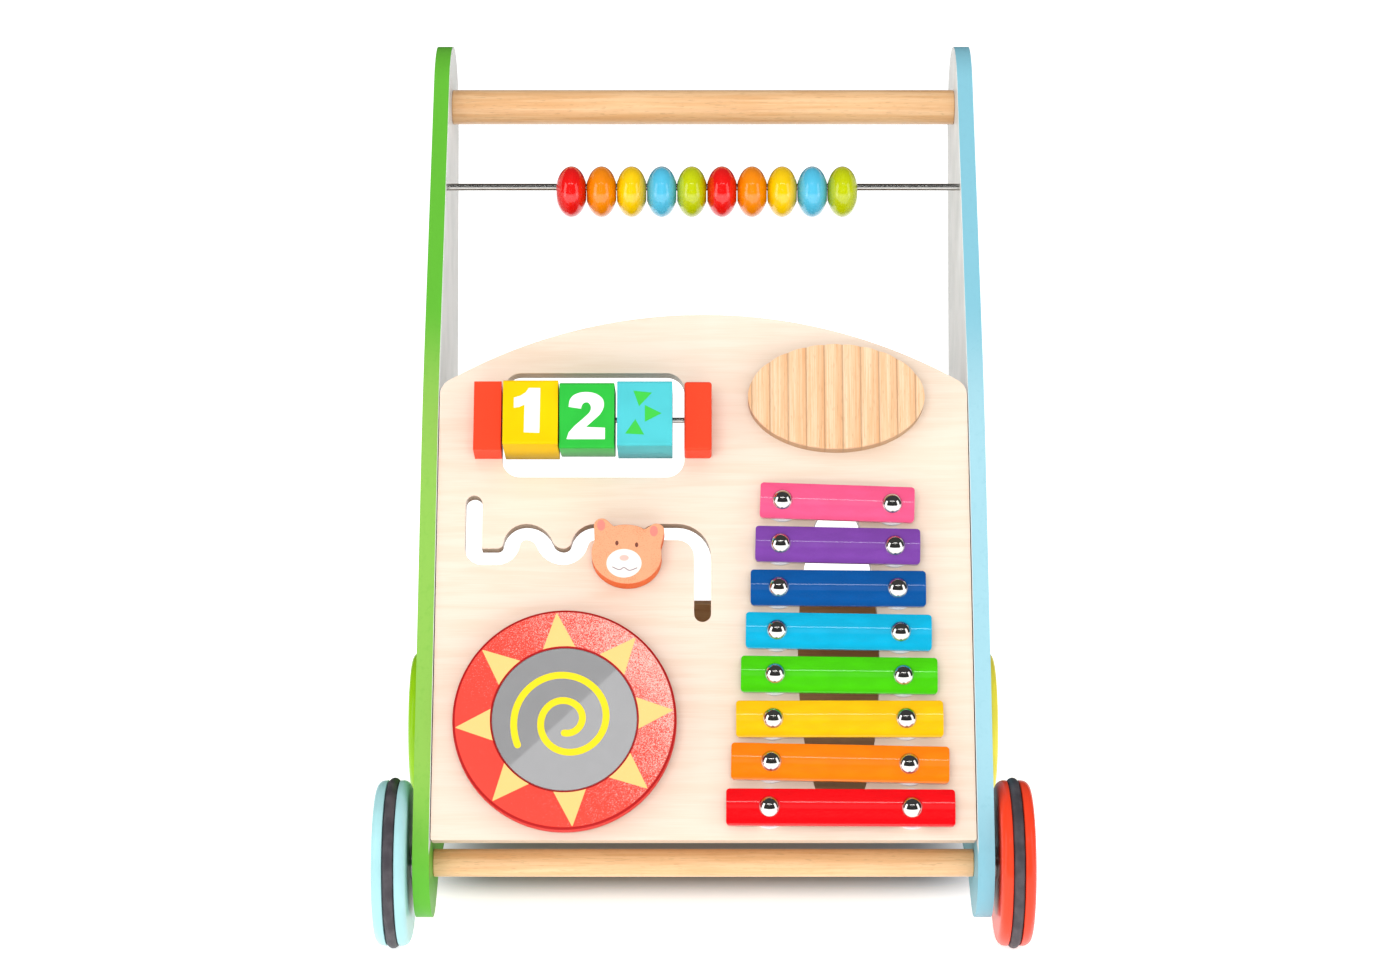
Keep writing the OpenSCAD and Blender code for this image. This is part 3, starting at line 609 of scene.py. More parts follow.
def ribbed_oval_tree():
    """Oval board whose top is a row of round ribs"""
    tree, given, result = new_tree("Ribbed oval board", {
        "Length": "Float", "Height": "Float", "Thickness": "Float", "Pitch": "Float",
        "Groove depth": "Float", "Shift": "Float", "Finish": "Material",
    })

    calc = calculator(tree)
    grid = add_node(tree, "GeometryNodeMeshGrid", {
        "Size X": 1.0, "Size Y": 4.0, "Vertices X": 481, "Vertices Y": 5,
    }).outputs["Mesh"]
    place = add_node(tree, "ShaderNodeSeparateXYZ", {
        0: add_node(tree, "GeometryNodeInputPosition").outputs[0],
    }).outputs
    along = calc("MULTIPLY", place[0], math.pi)
    row = calc("ADD", place[1], 2.0)
    x = calc("MULTIPLY", calc("SINE", along), calc("MULTIPLY", given["Length"], 0.5))
    half = calc("MULTIPLY", calc("COSINE", along), calc("MULTIPLY", given["Height"], 0.5))
    far = calc("LESS_THAN", calc("ABSOLUTE", calc("SUBTRACT", row, 2.5)), 0.9)
    top = calc("LESS_THAN", calc("ABSOLUTE", calc("SUBTRACT", row, 1.5)), 0.9)
    pitch = given["Pitch"]
    off = calc("SUBTRACT", calc("PINGPONG", calc("SUBTRACT", x, given["Shift"]), calc(
        "MULTIPLY", pitch, 0.5)), calc("MULTIPLY", pitch, 0.5))
    depth = given["Groove depth"]
    rib_r = calc("DIVIDE", calc("ADD", calc("POWER", calc("MULTIPLY", pitch, 0.5), 2.0), calc(
        "POWER", depth, 2.0)), calc("MULTIPLY", depth, 2.0))
    fall = calc("SUBTRACT", rib_r, calc("SQRT", calc("SUBTRACT", calc(
        "POWER", rib_r, 2.0), calc("POWER", off, 2.0))))
    height = calc("MULTIPLY", top, calc("SUBTRACT", given["Thickness"], fall))
    across = calc("MULTIPLY", half, calc("MULTIPLY_ADD", far, 2.0, -1.0))
    shape = add_node(tree, "GeometryNodeSetPosition", {
        "Geometry": grid,
        "Position": add_node(tree, "ShaderNodeCombineXYZ", {0: x, 1: across, 2: height}).outputs[0],
    }).outputs[0]
    closed = add_node(tree, "GeometryNodeMergeByDistance", {"Geometry": shape, "Distance": 4e-6})
    return end_tree(tree, closed.outputs[0], given, result)


def tyre_tree():
    """Rubber cord bent into a ring, a little uneven along its length"""
    tree, given, result = new_tree("Tyre ring", {
        "Ring radius": "Float", "Cord diameter": "Float", "Unevenness": "Float",
        "Seed": "Float", "Finish": "Material",
    })
    calc = calculator(tree)
    circle = add_node(tree, "GeometryNodeCurvePrimitiveCircle", {
        "Radius": given["Ring radius"], "Resolution": 144,
    }, mode="RADIUS").outputs[0]
    bend = add_node(tree, "ShaderNodeTexNoise", {
        "Vector": add_node(tree, "GeometryNodeInputPosition").outputs[0],
        "W": given["Seed"], "Scale": 60.0, "Detail": 1.0,
    }, noise_dimensions="4D").outputs[0]
    sway = calc("MULTIPLY", calc("SUBTRACT", bend, 0.5), given["Unevenness"])
    wavy = add_node(tree, "GeometryNodeSetPosition", {
        "Geometry": circle, "Offset": add_node(tree, "ShaderNodeCombineXYZ", {2: sway}).outputs[0],
    }).outputs[0]
    section = add_node(tree, "GeometryNodeCurvePrimitiveCircle", {
        "Radius": calc("MULTIPLY", given["Cord diameter"], 0.5), "Resolution": 20,
    }, mode="RADIUS").outputs[0]
    cord = add_node(tree, "GeometryNodeCurveToMesh", {"Curve": wavy, "Profile Curve": section})
    smooth = add_node(tree, "GeometryNodeSetShadeSmooth", {0: cord.outputs[0]})
    return end_tree(tree, smooth.outputs[0], given, result)


def marks(points):
    """Mesh of loose points, where fastenings go"""
    mesh = bpy.data.meshes.new("marks")
    mesh.from_pydata([tuple(point) for point in points], [], [])
    return mesh


def set_out(name, pattern, places, turn, finish, body, slot, stands_for=(), seed=1):
    """Fastenings of one pattern at several places, as one piece"""
    block = bpy.data.objects.new(name + "_pattern", pattern)
    mesh = grown(FASTENINGS, marks(places), name, pattern=block, lean=tuple(turn.to_euler()),
                 seed=seed, finish=finish)
    bpy.data.objects.remove(block)
    return add_piece(name, mesh, finish, body, slot, stands_for)


FASTENINGS = fastening_tree()
AXIS_X = turned_about("Y", 90)


# ---------------------------------------------------------------- camera, lights and floor

CAMERA_AT = (-0.0019, -1.9154, 0.6917)
CAMERA_DOWN = 13.57


def set_camera():
    camera = bpy.data.objects.new("camera", bpy.data.cameras.new("camera"))
    camera.data.lens = 90
    camera.data.sensor_width = 36
    camera.location = CAMERA_AT
    camera.rotation_euler = (math.radians(90 - CAMERA_DOWN), 0, 0)
    bpy.context.scene.collection.objects.link(camera)
    bpy.context.scene.camera = camera


def soft_light(name, place, aim, width, height, power, mirrored=True):
    lamp = bpy.data.lights.new(name, "AREA")
    lamp.shape = "RECTANGLE"
    lamp.size, lamp.size_y = width, height
    lamp.energy = power
    light = bpy.data.objects.new(name, lamp)
    light.location = place
    light.rotation_euler = (Vector(aim) - Vector(place)).to_track_quat("-Z", "Y").to_euler()
    light.visible_glossy = mirrored
    bpy.context.scene.collection.objects.link(light)


def light_studio():
    """White studio: a broad light in front, a tall soft light on each side, a strip overhead, and a glowing floor
    with a painted shadow under the walker
    """
    soft_light("front_light", (-0.3, -2.7, 1.15), (0, 0, 0.15), 2.4, 0.9, 40, mirrored=False)
    soft_light("top_light", (-0.2, -0.7, 2.6), (0, 0, 0.1), 1.8, 1.8, 9, mirrored=False)
    soft_light("left_softbox", (-1.7, -0.75, 0.7), (0, 0, 0.2), 0.75, 1.7, 9)
    soft_light("right_softbox", (1.7, -0.75, 0.7), (0, 0, 0.2), 0.75, 1.7, 7)
    soft_light("overhead_strip", (0, -3.24, 3.97), (0, 0, 0.2), 4.5, 0.14, 14)

    world = bpy.data.worlds.new("studio")
    world.use_nodes = True
    world.cycles.sampling_method = "NONE"
    bpy.context.scene.world = world
    tree = world.node_tree
    sky = tree.nodes["Background"]
    calc = calculator(tree)

    def spread(value, low, high, to_low, to_high):
        return add_node(tree, "ShaderNodeMapRange", {
            0: value, 1: low, 2: high, 3: to_low, 4: to_high}).outputs[0]

    way = add_node(tree, "ShaderNodeTexCoord").outputs["Generated"]
    towards = add_node(tree, "ShaderNodeSeparateXYZ", {0: way}).outputs
    even = calc("MULTIPLY_ADD", calc("MAXIMUM", towards[2], 0.0), 0.26, 0.36)
    # What shines back from bright parts: a dim room with a grey card that has a slanting edge
    slant = add_node(tree, "ShaderNodeVectorMath", {
        0: way, 1: (-0.67067, 0.51308, 0.53568)}, operation="DOT_PRODUCT").outputs["Value"]
    card = spread(slant, -0.00015, 0.00015, 0.45, 0.2)
    on_card = calc("MULTIPLY", calc("LESS_THAN", calc("ABSOLUTE", towards[0]), 0.14), calc(
        "MULTIPLY", calc("GREATER_THAN", towards[2], 0.58), calc("LESS_THAN", towards[2], 0.73)))
    room = spread(towards[2], -0.2, 0.9, 0.03, 0.07)
    seen = add_node(tree, "ShaderNodeMix", {0: on_card, 2: room, 3: card}).outputs[0]
    glossy = add_node(tree, "ShaderNodeLightPath").outputs["Is Glossy Ray"]
    strength = add_node(tree, "ShaderNodeMix", {0: glossy, 2: even, 3: seen}).outputs[0]
    tree.links.new(strength, sky.inputs["Strength"])
    sky.inputs["Color"].default_value = (1, 1, 1, 1)

    bpy.ops.mesh.primitive_plane_add(size=60)
    floor = bpy.context.active_object
    floor.name = "studio_floor"
    sheet = Finish("studio_floor", Roughness=0.9, Specular_IOR_Level=0.0)
    where = sheet.space()
    paper = sheet.noise(sheet.space(stretch=0.3))
    x, y, _ = sheet.parts(where)
    # Painted shadow: under the walker the floor takes a darker blue-grey colour and loses its glow
    under = sheet.math("MULTIPLY", sheet.spread(sheet.math("ABSOLUTE", x), 0.12, 0.2, 1, 0), sheet.math(
        "MULTIPLY", sheet.spread(y, -0.065, -0.015), sheet.spread(y, 0.16, 0.25, 1, 0)))
    bright = sheet.blend(paper, (0.975, 0.975, 0.975, 1), (0.985, 0.985, 0.985, 1))
    sheet.feed("Base Color", sheet.blend(under, bright, (0.5, 0.56, 0.64, 1)))
    sheet.shader.inputs["Emission Color"].default_value = (1, 1, 1, 1)
    sheet.feed("Emission Strength", sheet.math("MULTIPLY_ADD", under, -0.7, 0.7))
    floor.data.materials.append(sheet.material)
    bpy.context.scene.view_settings.view_transform = "Standard"


# ---------------------------------------------------------------- timber frame

BIRCH_LIGHT, BIRCH_DARK = tone(250, 231, 212), tone(244, 220, 197)
BEECH_LIGHT, BEECH_DARK = tone(250, 204, 152), tone(236, 180, 122)


def make_side_boards():
    # Each side's second colour is painted light: the paler tone of its front edge where it faces up into the light
    sides = (
        ("left_side_panel", "green_paint", tone(100, 188, 52), tone(156, 204, 92)),
        ("right_side_panel", "blue_paint", tone(136, 200, 218), tone(172, 218, 230)),
    )
    for node, slot, colour, lit_colour in sides:
        low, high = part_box(node)
        inner = min(abs(low.x), abs(high.x)) / MM
        finish = side_paint(slot, colour, lit_colour, inner + 0.25)
        stand_in(node, eased(cut_shape(node), 1.4), finish, slot)


def make_boards():
    panel_wood = timber(
        "birch_panel", BIRCH_LIGHT, BIRCH_DARK, PANEL, layers=PLY, width=5, Coat_Weight=0.1
    )
    stand_in("play_panel", eased(cut_shape("play_panel"), 0.7), panel_wood, "birch")
    floor_top = Matrix.Translation((0, 0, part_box("tray_floor")[1].z))
    # Painted shade: the tray floor and rear board get a darker copy of the panel's birch, for the shade they sit
    # in behind the panel
    shaded_birch_light, shaded_birch_dark = tone(222, 178, 132), tone(196, 148, 104)
    floor_wood = timber("birch_tray_floor", shaded_birch_light, shaded_birch_dark, floor_top, layers=PLY, width=5)
    stand_in("tray_floor", eased(cut_shape("tray_floor"), 0.6), floor_wood, "birch")
    back = Matrix.Translation((0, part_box("rear_board")[0].y, 0)) @ turned_about("X", 90)
    back_wood = timber("birch_rear_board", shaded_birch_light, shaded_birch_dark, back, layers=PLY, width=5)
    stand_in("rear_board", eased(cut_shape("rear_board"), 0.6), back_wood, "birch")


def make_dowels():
    beech = timber(
        "beech", BEECH_LIGHT, BEECH_DARK, Matrix.Identity(4), fleck=0.35, width=3,
        Coat_Weight=0.5, Coat_Roughness=0.16,
    )
    for node in ("handle_bar", "front_axle_dowel", "rear_axle_dowel"):
        stand_in(node, round_bar(node, 0.5, 80), beech, "beech")


# ---------------------------------------------------------------- abacus

BEAD_COLOURS = (
    ("bead_red", tone(240, 16, 14)), ("bead_orange", tone(252, 140, 0)),
    ("bead_yellow", tone(255, 208, 0)), ("bead_sky", tone(84, 196, 232)),
    ("bead_lime", tone(196, 208, 0)),
)


def make_abacus():
    paints = [paint(name, colour, gloss=0.2, lines=0, Coat_Weight=0.9, Coat_Roughness=0.06)
              for name, colour in BEAD_COLOURS]
    for i in range(10):
        node = f"bead_{i + 1}"
        low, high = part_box(node)
        radius, half, hole = (high.z - low.z) / 2 / MM, (high.x - low.x) / 2 / MM, 5.0
        start = math.asin(hole / radius)
        reach = half / math.cos(start)
        swell = [start + (math.pi - 2 * start) * k / 32 for k in range(33)]
        profile = [(radius * math.sin(a), -reach * math.cos(a)) for a in swell]
        mesh = eased(turned(profile, node, 88, closed=True), 0.7, 3)
        place = Matrix.Translation(middle_of(node)) @ AXIS_X
        slot = BEAD_COLOURS[i % 5][0]
        stand_in(node, moved(mesh, place), paints[i % 5], slot)


def make_rods():
    bright = metal("rod_steel", tone(214, 212, 208), AXIS_X, gloss=0.26, brushed=0.15)
    for node in ("abacus_rod", "block_rod"):
        stand_in(node, round_bar(node, 0.3, 40), bright, "steel")


# ---------------------------------------------------------------- number blocks

ONE = [(-3.4, -11.6), (5.0, -11.9), (5.3, 13.3), (-0.9, 13.4), (-2.6, 10.9), (-5.4, 9.0), (-9.0, 7.9),
       (-9.0, 2.2), (-6.2, 2.6), (-3.2, 4.0)]
TWO_OUTER = [(-9.9, 4.6), (-9.2, 8.6), (-6.6, 11.4), (-1.6, 12.8), (4.6, 12.0), (8.6, 9.0), (9.2, 4.9),
             (7.4, 0.9), (3.6, -2.8), (-0.4, -6.4)]
TWO_INNER = [(-9.8, -9.4), (-6.4, -5.6), (-1.6, -1.4), (1.6, 1.9), (2.2, 4.7), (0.9, 6.8), (-1.1, 7.0),
             (-2.6, 5.6), (-3.1, 3.6)]
TWO = smooth_line(TWO_OUTER, 5) + [(9.9, -6.8), (9.9, -13.1), (-11, -13.1)] + smooth_line(TWO_INNER, 5)
TRIANGLES = ([(-6.2, 12.5), (-3.0, 3.8), (4.0, 11.4)], [(0.1, 4.5), (0.1, -4.9), (9.3, -0.1)],
             [(-10.6, -11.4), (-0.2, -12.0), (-5.0, -3.4)])
BLOCK_FACE = 18


def make_blocks():
    leaf = tone(66, 205, 72)
    white_ink = tone(252, 252, 250)
    blocks = (
        ("block_yellow", tone(255, 206, 0), 2.0, [ONE], white_ink),
        ("block_green", tone(50, 190, 66), 8.5, [TWO], white_ink),
        ("block_turquoise", tone(84, 200, 208), 4.5, TRIANGLES, leaf),
    )
    for i, (slot, colour, tilt, shapes, ink) in enumerate(blocks):
        node = f"number_block_{i + 1}"
        place = Matrix.Translation(middle_of(node)) @ PANEL_TURN @ turned_about("X", tilt)
        body_paint = paint(slot, colour, place @ turned_about("Z", 90), gloss=0.42,
                           Specular_IOR_Level=0.06, Coat_Weight=0.04)
        stand_in(node, eased(cut_shape(node), 1.5, 4, 50), body_paint, slot)
        print_ink = crayon(f"ink_{slot}", ink, colour, place, amount=0.05)
        faces = [plate(shape, BLOCK_FACE - 0.3, BLOCK_FACE + 0.04, slot) for shape in shapes]
        mesh = moved(joined(faces, slot), place)
        add_piece(f"{node}_print", mesh, print_ink, body_of[node], slot)


def make_holders():
    coral = crayon("coral_holders", tone(252, 70, 36), tone(255, 150, 118), PANEL, amount=0.05)
    for node in ("block_holder_left", "block_holder_right"):
        stand_in(node, eased(cut_shape(node), 1.6, 4), coral, "coral_paint")


# ---------------------------------------------------------------- bear

BEAR_TOP, FACE_UP = 13.4, 0.7


def make_bear():
    place = over(middle_of("bear_pin"))
    fur = crayon("bear_fur", tone(246, 172, 130), tone(236, 112, 62), place, amount=0.62,
                 flank=(BEAR_TOP - 0.7, tone(246, 108, 36)))
    stand_in("bear_head", eased(cut_shape("bear_head"), 1.7, 4, 50), fur, "bear_paint")

    def dab(name, outlines, ink, lift=0.05):
        shapes = [plate([(x, y + FACE_UP) for x, y in outline], BEAR_TOP - 0.3, BEAR_TOP + lift, name)
                  for outline in outlines]
        add_piece(name, moved(joined(shapes, name), place), ink, "bear_face", "bear_paint")

    cream = crayon("bear_muzzle", tone(252, 244, 236), tone(244, 228, 214), place, amount=0.2)
    rose = crayon("bear_rose", tone(243, 140, 128), tone(249, 176, 156), place, amount=0.3)
    blush = crayon("bear_blush", tone(246, 196, 184), tone(250, 214, 204), place, amount=0.3)
    brown = crayon("bear_ink", tone(128, 76, 62), tone(170, 110, 90), place, amount=0.3)
    violet = crayon("bear_smile_ink", tone(150, 130, 140), tone(190, 172, 178), place, amount=0.3)
    dab("bear_muzzle", [oval(19, 16, -1.5, -7.9)], cream)
    dab("bear_inner_ears", [oval(4.4, 6, -14, 13.4, 32), oval(4.4, 6, 14.6, 10.1, 32)], rose)
    dab("bear_eyes", [oval(1.8, 2.7, -5.4, 3.4, 24), oval(1.8, 2.7, 5.3, 2.4, 24)], brown)
    dab("bear_nose", [oval(5.0, 3.2, -1.45, -4.9, 28)], blush, 0.09)
    smile = smooth_line([(-7.6, -10), (-4, -11.5), (-1.5, -10.3), (1.5, -11.9), (5.5, -10.5)], 6)
    dab("bear_smile", [stroke(smile, 0.5)], violet, 0.08)
    plain = timber("birch_small", BIRCH_LIGHT, BIRCH_DARK, PANEL)
    stand_in("bear_rear_disc", eased(cut_shape("bear_rear_disc"), 0.6), plain, "birch")
    along_pin = PANEL @ turned_about("Y", 90)
    pin = timber("beech_pin", BEECH_LIGHT, BEECH_DARK, along_pin, fleck=0.3)
    stand_in("bear_pin", eased(cut_shape("bear_pin"), 0.25), pin, "beech")


# ---------------------------------------------------------------- sun disc and mirror

SUN_R, SUN_TOP = 60, 11
RECESS_R, RECESS_N, MIRROR_TOP = 39.05, 7.5, 10.3
PIVOT_R = 3.05
RAYS, RAY_TILT, RAY_HALF = 8, 4.7, 12.6


def make_sun():
    place = over(Vector(joints["sun_disc_spin"]["pos_m"]))
    red = crayon("sun_red", tone(250, 74, 60), tone(255, 222, 210), place, lean=(0.0042, 0.0028),
                 amount=0.6, drifts=0.12, rim=(RECESS_R, SUN_R, tone(178, 10, 12)))
    wall = crayon("sun_rim_red", tone(226, 34, 26), tone(200, 24, 20), place, amount=0.1)
    profile = [
        (PIVOT_R, 1), (57.6, 1), (58.6, 1.2), (59.5, 1.9), (SUN_R, 3), (SUN_R, 9.2), (59.8, 10.1),
        (59.2, 10.7), (58.4, SUN_TOP), (40.2, SUN_TOP), (39.5, 10.75), (RECESS_R, 10.2),
        (RECESS_R, RECESS_N), (PIVOT_R, RECESS_N),
    ]
    stand_in("sun_disc", moved(turned(profile, "sun", 160, closed=True), place), red, "coral_paint")
    rim = [(60.04, 2.9), (60.06, 9.0), (59.95, 9.7), (59.7, 10.15), (59.5, 10.0), (59.5, 3.0)]
    add_piece("sun_rim", moved(turned(rim, "rim", 160, closed=True), place), wall, "sun", "coral_paint")
    butter = crayon("sun_butter", tone(251, 210, 130), tone(255, 236, 190), place, amount=0.25, drifts=0.2)
    rays = []
    for k in range(RAYS):
        turn = Matrix.Rotation(math.radians(RAY_TILT + 360 / RAYS * k), 2)
        arc = [Vector((39.9 * math.cos(a), 39.9 * math.sin(a)))
               for a in (math.radians(RAY_HALF * (1 - j / 4)) for j in range(9))]
        corners = [Vector((57.9, -0.35)), Vector((58.3, 0)), Vector((57.9, 0.35))] + arc
        rays.append(plate([tuple(turn @ corner) for corner in corners],
                          SUN_TOP - 0.2, SUN_TOP + 0.05, "ray"))
    add_piece("sun_rays", moved(joined(rays, "rays"), place), butter, "sun", "coral_paint")
    glass = [(0, RECESS_N), (38.9, RECESS_N), (39, 7.7), (39, 9.9), (38.6, MIRROR_TOP), (0, MIRROR_TOP)]
    stand_in("sun_mirror", moved(turned(glass, "mirror", 128), place), mirror_sheet("mirror"), "mirror")
    wound = [(209.5, 28.6), (180, 27), (90, 24), (0, 22.2), (-90, 17.8), (-180, 12.4), (-270, 10.1),
             (-360, 9.6), (-450, 7.6)]
    line = [(r * math.cos(math.radians(a)), r * math.sin(math.radians(a)))
            for a, r in smooth_line(wound, 16)]
    yolk = crayon("sun_spiral_yellow", tone(250, 226, 36), tone(255, 240, 110), place, amount=0.2)
    spiral = moved(plate(stroke(line, 3.7), MIRROR_TOP - 0.1, MIRROR_TOP + 0.06, "spiral"), place)
    add_piece("sun_spiral", spiral, yolk, "sun", "mirror")
    steel = metal("plated_steel", tone(205, 205, 205), PANEL, gloss=0.28)
    stand_in("sun_pivot_nut", eased(cut_shape("sun_pivot_nut"), 0.4), steel, "steel")
    white = paint("white_plastic", tone(240, 240, 238), PANEL, gloss=0.4, lines=0)
    coat_node("sun_spacer", white)
    coat_node("sun_pivot_bolt", steel)


# ---------------------------------------------------------------- guiro and xylophone

RIB_PITCH, RIB_SHIFT = 10, 3.6
FELT, BAR_ARCH, BAR_SHEET = 3.0, 2.2, 2.0
BAR_LONGEST, BAR_STEP = 122, 5.4
FIRST_BAR, BAR_PITCH = 16.6, 24.1
SCREW_HALF, SCREW_STEP = 38, 1.15
BAR_TILTS = (0.3, 1.15, 0, 0.7, 0.9, 0.5, 1.2, 2)
BAR_COLOURS = (
    ("bar_red", tone(246, 0, 14)), ("bar_orange", tone(255, 130, 0)), ("bar_yellow", tone(255, 196, 0)),
    ("bar_green", tone(72, 206, 0)), ("bar_sky", tone(0, 178, 220)), ("bar_blue", tone(0, 84, 158)),
    ("bar_purple", tone(126, 68, 166)), ("bar_pink", tone(250, 92, 140)),
)


def make_guiro():
    place = over(middle_of("guiro_board"))
    along_ribs = place @ turned_about("Z", 90)
    pine = timber("guiro_pine", tone(252, 217, 180), tone(238, 186, 136), along_ribs, width=0.9,
                  fleck=0.35, grooves=(RIB_PITCH, RIB_SHIFT), Roughness=0.5)
    mesh = grown(
        ribbed_oval_tree(), marks([(0, 0, 0)]), "guiro", length=97 * MM, height=60 * MM,
        thickness=9 * MM, pitch=RIB_PITCH * MM, groove_depth=1.4 * MM, shift=RIB_SHIFT * MM, finish=pine,
    )
    bm = bmesh.new()
    bm.from_mesh(mesh)
    bmesh.ops.remove_doubles(bm, verts=bm.verts[:], dist=4e-6)
    mesh = eased(finished_mesh(bm, "guiro", 24), 0.45, 2, 55)
    stand_in("guiro_board", moved(mesh, place), pine, "beech")


def bar_shape(length, width=20.0, corner=2.0):
    """Pressed bar: an arched sheet with round corners, lying along x"""
    radius = (width * width / 4 + BAR_ARCH * BAR_ARCH) / (2 * BAR_ARCH)
    flat = width / 2 - corner
    rows = [-flat - corner * math.sin(math.radians(90 - 15 * k)) for k in range(6)]
    rows += [flat * (k / 10 - 1) for k in range(21)]
    rows += [flat + corner * math.sin(math.radians(15 * (k + 1))) for k in range(6)]
    bm = bmesh.new()
    grids = []
    for thick in (0.0, BAR_SHEET):
        grid = []
        for y in rows:
            inset = max(0.0, abs(y) - flat)
            reach = length / 2 - corner + math.sqrt(max(0.0, corner * corner - inset * inset))
            z = FELT + BAR_ARCH - radius + math.sqrt((radius + thick) ** 2 - y * y)
            grid.append([bm.verts.new((x * MM, y * MM, z * MM)) for x in (
                -reach, -reach * 0.5, 0, reach * 0.5, reach)])
        grids.append(grid)
    last = len(rows) - 1
    for grid in grids:
        for j in range(last):
            for i in range(4):
                bm.faces.new((grid[j][i], grid[j][i + 1], grid[j + 1][i + 1], grid[j + 1][i]))
    low, high = grids
    for j in range(last):
        for i in (0, 4):
            bm.faces.new((low[j][i], low[j + 1][i], high[j + 1][i], high[j][i]))
    for j in (0, last):
        for i in range(4):
            bm.faces.new((low[j][i], low[j][i + 1], high[j][i + 1], high[j][i]))
    return finished_mesh(bm, "bar", 40)


def make_xylophone():
    middle_x = middle_of("xylophone_bar_1").x / MM
    screw_marks = []
    for i, (slot, colour) in enumerate(BAR_COLOURS):
        node = f"xylophone_bar_{i + 1}"
        place = on_panel(middle_x, FIRST_BAR + BAR_PITCH * i, 0, -BAR_TILTS[i])
        mesh = eased(bar_shape(BAR_LONGEST - BAR_STEP * i), 0.55, 3, 50)
        stand_in(node, moved(mesh, place), enamel(slot, colour, place), slot)
        for side in (-1, 1):
            screw_marks.append(place @ Vector((side * (SCREW_HALF - SCREW_STEP * i) * MM, 0, 0)))
    rise = OUT * (FELT + BAR_ARCH + BAR_SHEET) * MM
    reach = 5.6
    head = turned(dome_profile(reach, 3.6, 14) + [(reach, -0.35), (reach - 0.35, -0.5), (0, -0.5)],
                  "dome_head", 48)
    chrome = metal("chrome_steel", tone(236, 234, 230), PANEL, gloss=0.07)
    set_out("xylophone_domed_screws", head, [mark + rise for mark in screw_marks], PANEL_TURN, chrome,
            "frame", "chrome_steel", ("xylophone_screws",), seed=3)
    pad = turned([(1.6, 0), (10.6, 0), (11, 0.5), (11, FELT - 0.5), (10.6, FELT), (1.6, FELT)],
                 "felt_pad", 56, closed=True)
    set_out("xylophone_felt_pads", pad, screw_marks, PANEL_TURN, felt_wool("felt"),
            "frame", "felt", ("xylophone_washers",), seed=5)


# ---------------------------------------------------------------- wheels and frame screws

WHEEL_HALF, WHEEL_R, WHEEL_EASE = 9.25, 44.6, 4.6
TYRE_RING_R, TYRE_CORD = 43, 6
HUB_SINK, BORE_R = 1.5, 4.06


def wheel_profile():
    """Half section of a wheel with eased rims, a groove for its tyre and a sunk hub"""
    half, radius, ease = WHEEL_HALF, WHEEL_R, WHEEL_EASE
    rim = [(radius - ease + ease * math.cos(a), -half + ease - ease * math.sin(a))
           for a in (math.radians(90 - 90 * k / 8) for k in range(9))]
    groove = [(radius, -3.5), (radius - 0.35, -3.2), (TYRE_RING_R - 2.0, -3.1), (TYRE_RING_R - 3.1, -1.6)]
    back = [(BORE_R, -half + 0.1), (5, -half)]
    hub = [(13.2, half), (12.5, half - 0.2), (12, half - 0.8), (12, half - HUB_SINK),
           (BORE_R, half - HUB_SINK)]
    inner = rim + groove
    return back + inner + [(r, -h) for r, h in inner[::-1]] + hub


def make_wheels():
    wheels = (
        ("front_left", -1, "wheel_sky", tone(176, 228, 232)),
        ("front_right", 1, "wheel_coral", tone(255, 66, 30)),
        ("rear_left", -1, "wheel_lime", tone(156, 212, 0)),
        ("rear_right", 1, "wheel_yellow", tone(252, 236, 70)),
    )
    tyre_mesh = tyre_tree()
    black = rubber("tyre_rubber")
    for i, (name, side, slot, colour) in enumerate(wheels):
        node = f"wheel_{name}"
        centre = middle_of(node)
        place = Matrix.Translation(centre) @ turned_about("Y", 90 * side)
        coat = paint(slot, colour, Matrix.Translation(centre) @ AXIS_X.inverted(), gloss=0.36, lines=0.08)
        disc = turned(wheel_profile(), node, 128, closed=True, sharp=30)
        stand_in(node, moved(disc, place), coat, slot)
        tyre = grown(
            tyre_mesh, marks([(0, 0, 0)]), "tyre", ring_radius=TYRE_RING_R * MM,
            cord_diameter=TYRE_CORD * MM, unevenness=0.9 * MM, seed=float(i), finish=black,
        )
        stand_in(f"tyre_{name}", moved(tyre, place), black, "tyre_rubber")


def make_bolts():
    steel = metal("bolt_steel", tone(210, 210, 208), AXIS_X, gloss=0.2)
    reach = 9.0
    socket = [(0, 1.2), (2.4, 1.2), (2.4, 3.0), (2.9, 3.25)]
    dome = socket + [point for point in dome_profile(reach, 3.4, 12) if point[0] > 3.2]
    stem = [(reach, 0.1), (reach - 0.2, 0), (4, 0), (4, -31.5), (3, -32), (3, -54), (0, -54)]
    head = turned(dome + stem, "bolt", 56, sharp=30)
    rights, lefts = [], []
    for node, group in (("wheel_front_right", rights), ("wheel_rear_right", rights),
                        ("wheel_front_left", lefts), ("wheel_rear_left", lefts)):
        centre = middle_of(node)
        out = 1 if centre.x > 0 else -1
        group.append(centre + Vector((out * (WHEEL_HALF - HUB_SINK + 0.2) * MM, 0, 0)))
    set_out("wheel_bolts_right", head.copy(), rights, AXIS_X, steel, "frame", "steel", ("wheel_bolts",), 7)
    set_out("wheel_bolts_left", head, lefts, AXIS_X.inverted(), steel, "frame", "steel", (), 8)
    coat_node("wheel_spacers", steel)


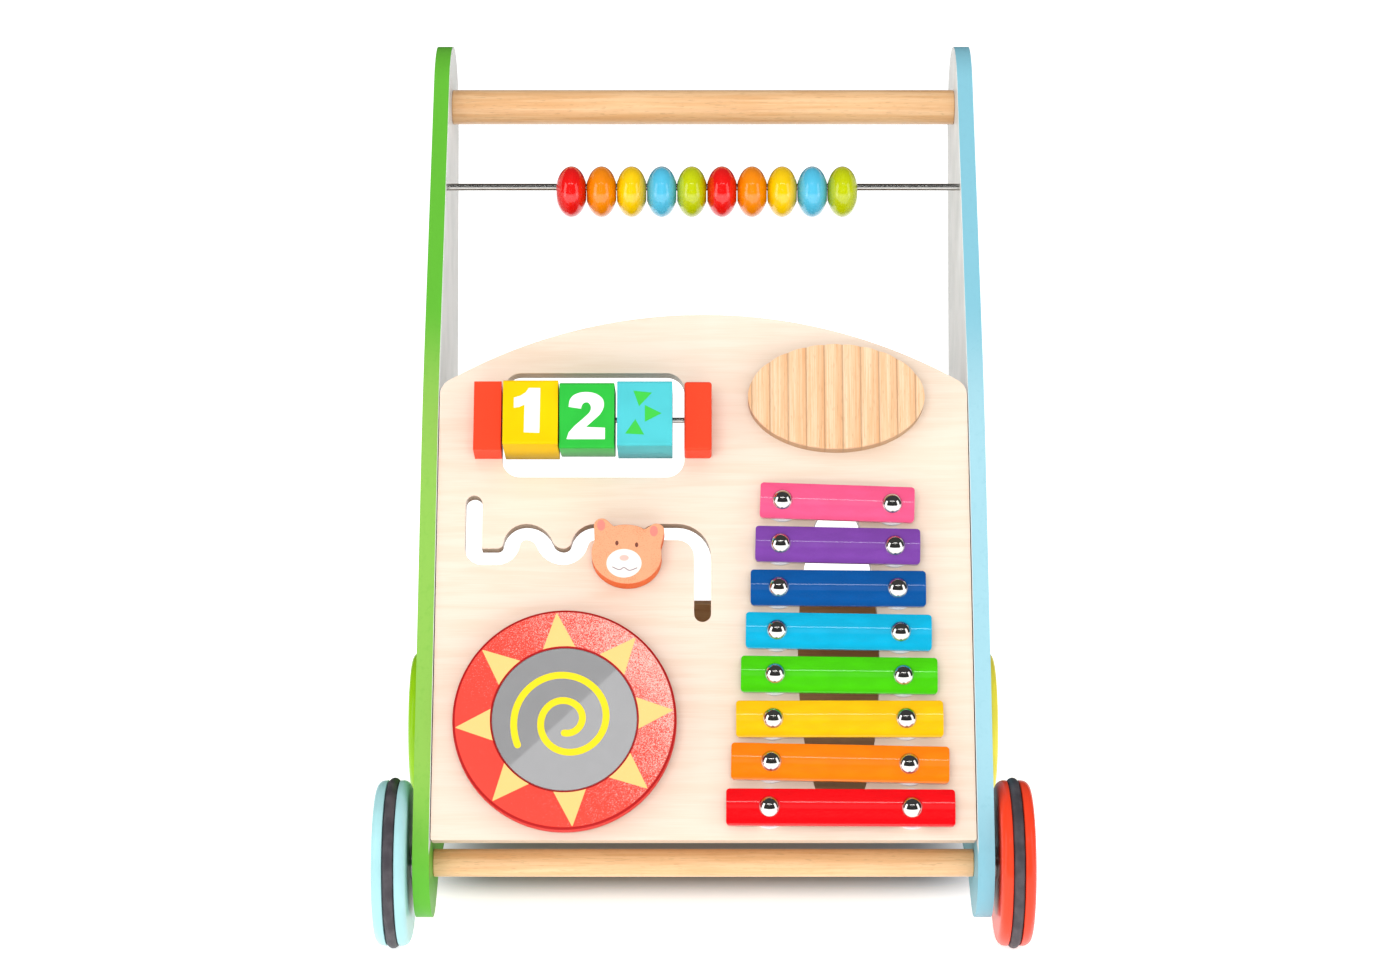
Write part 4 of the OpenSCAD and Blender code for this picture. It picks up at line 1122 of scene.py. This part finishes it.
def screw_head():
    """Countersunk head with a cross recess, its flat top at z = 0"""
    bm = bmesh.new()
    steps = 40
    rim = ring(bm, 3.75, 0, steps)
    tip = ring(bm, 1.8, -2, steps)
    for k in range(steps):
        bm.faces.new((rim[k], rim[(k + 1) % steps], tip[(k + 1) % steps], tip[k]))
    bm.faces.new(tip[::-1])
    arm_half, arm_reach, recess = 0.45, 2.1, 1.3
    quarter = [(arm_reach, -arm_half), (arm_reach, arm_half), (arm_half, arm_half)]
    cross = [(x * c - y * d, x * d + y * c)
             for c, d in ((1, 0), (0, 1), (-1, 0), (0, -1)) for x, y in quarter]
    top = [bm.verts.new((x * MM, y * MM, 0)) for x, y in cross]
    deep = [bm.verts.new((x * 0.8 * MM, y * 0.8 * MM, -recess * MM)) for x, y in cross]
    count = len(cross)
    for k in range(count):
        bm.faces.new((top[(k + 1) % count], top[k], deep[k], deep[(k + 1) % count]))
    bm.faces.new(deep)
    loops = [bm.edges.get((top[k], top[(k + 1) % count])) for k in range(count)]
    loops += [bm.edges.get((rim[k], rim[(k + 1) % steps])) for k in range(steps)]
    bmesh.ops.triangle_fill(bm, use_beauty=True, edges=loops)
    return finished_mesh(bm, "screw_head", 30)


def make_frame_screws():
    steel = metal("screw_steel", tone(196, 194, 190), AXIS_X, gloss=0.3)
    outer_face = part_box("right_side_panel")[1].x
    spots = {}
    for vertex in frame["nodes"]["frame_screws"].data.vertices:
        if abs(abs(vertex.co.x) - outer_face) < 1e-5:
            key = (vertex.co.x > 0, round(vertex.co.y, 2), round(vertex.co.z, 2))
            spots.setdefault(key, []).append(vertex.co.copy())
    groups = {True: [], False: []}
    for (right, _, _), points in spots.items():
        groups[right] += points
    for right, turn, seed in ((True, AXIS_X, 11), (False, AXIS_X.inverted(), 12)):
        centres = []
        for point in groups[right]:
            near = [c for c in centres if (c[0] / c[1] - point).length < 9 * MM]
            if near:
                near[0][0] += point
                near[0][1] += 1
            else:
                centres.append([point.copy(), 1])
        places = [total / count for total, count in centres]
        name = "frame_screws_right" if right else "frame_screws_left"
        stands_for = ("frame_screws",) if right else ()
        set_out(name, screw_head(), places, turn, steel, "frame", "steel", stands_for, seed)


set_camera()
light_studio()
make_side_boards()
make_boards()
make_dowels()
make_abacus()
make_rods()
make_blocks()
make_holders()
make_bear()
make_sun()
make_guiro()
make_xylophone()
make_wheels()
make_bolts()
make_frame_screws()
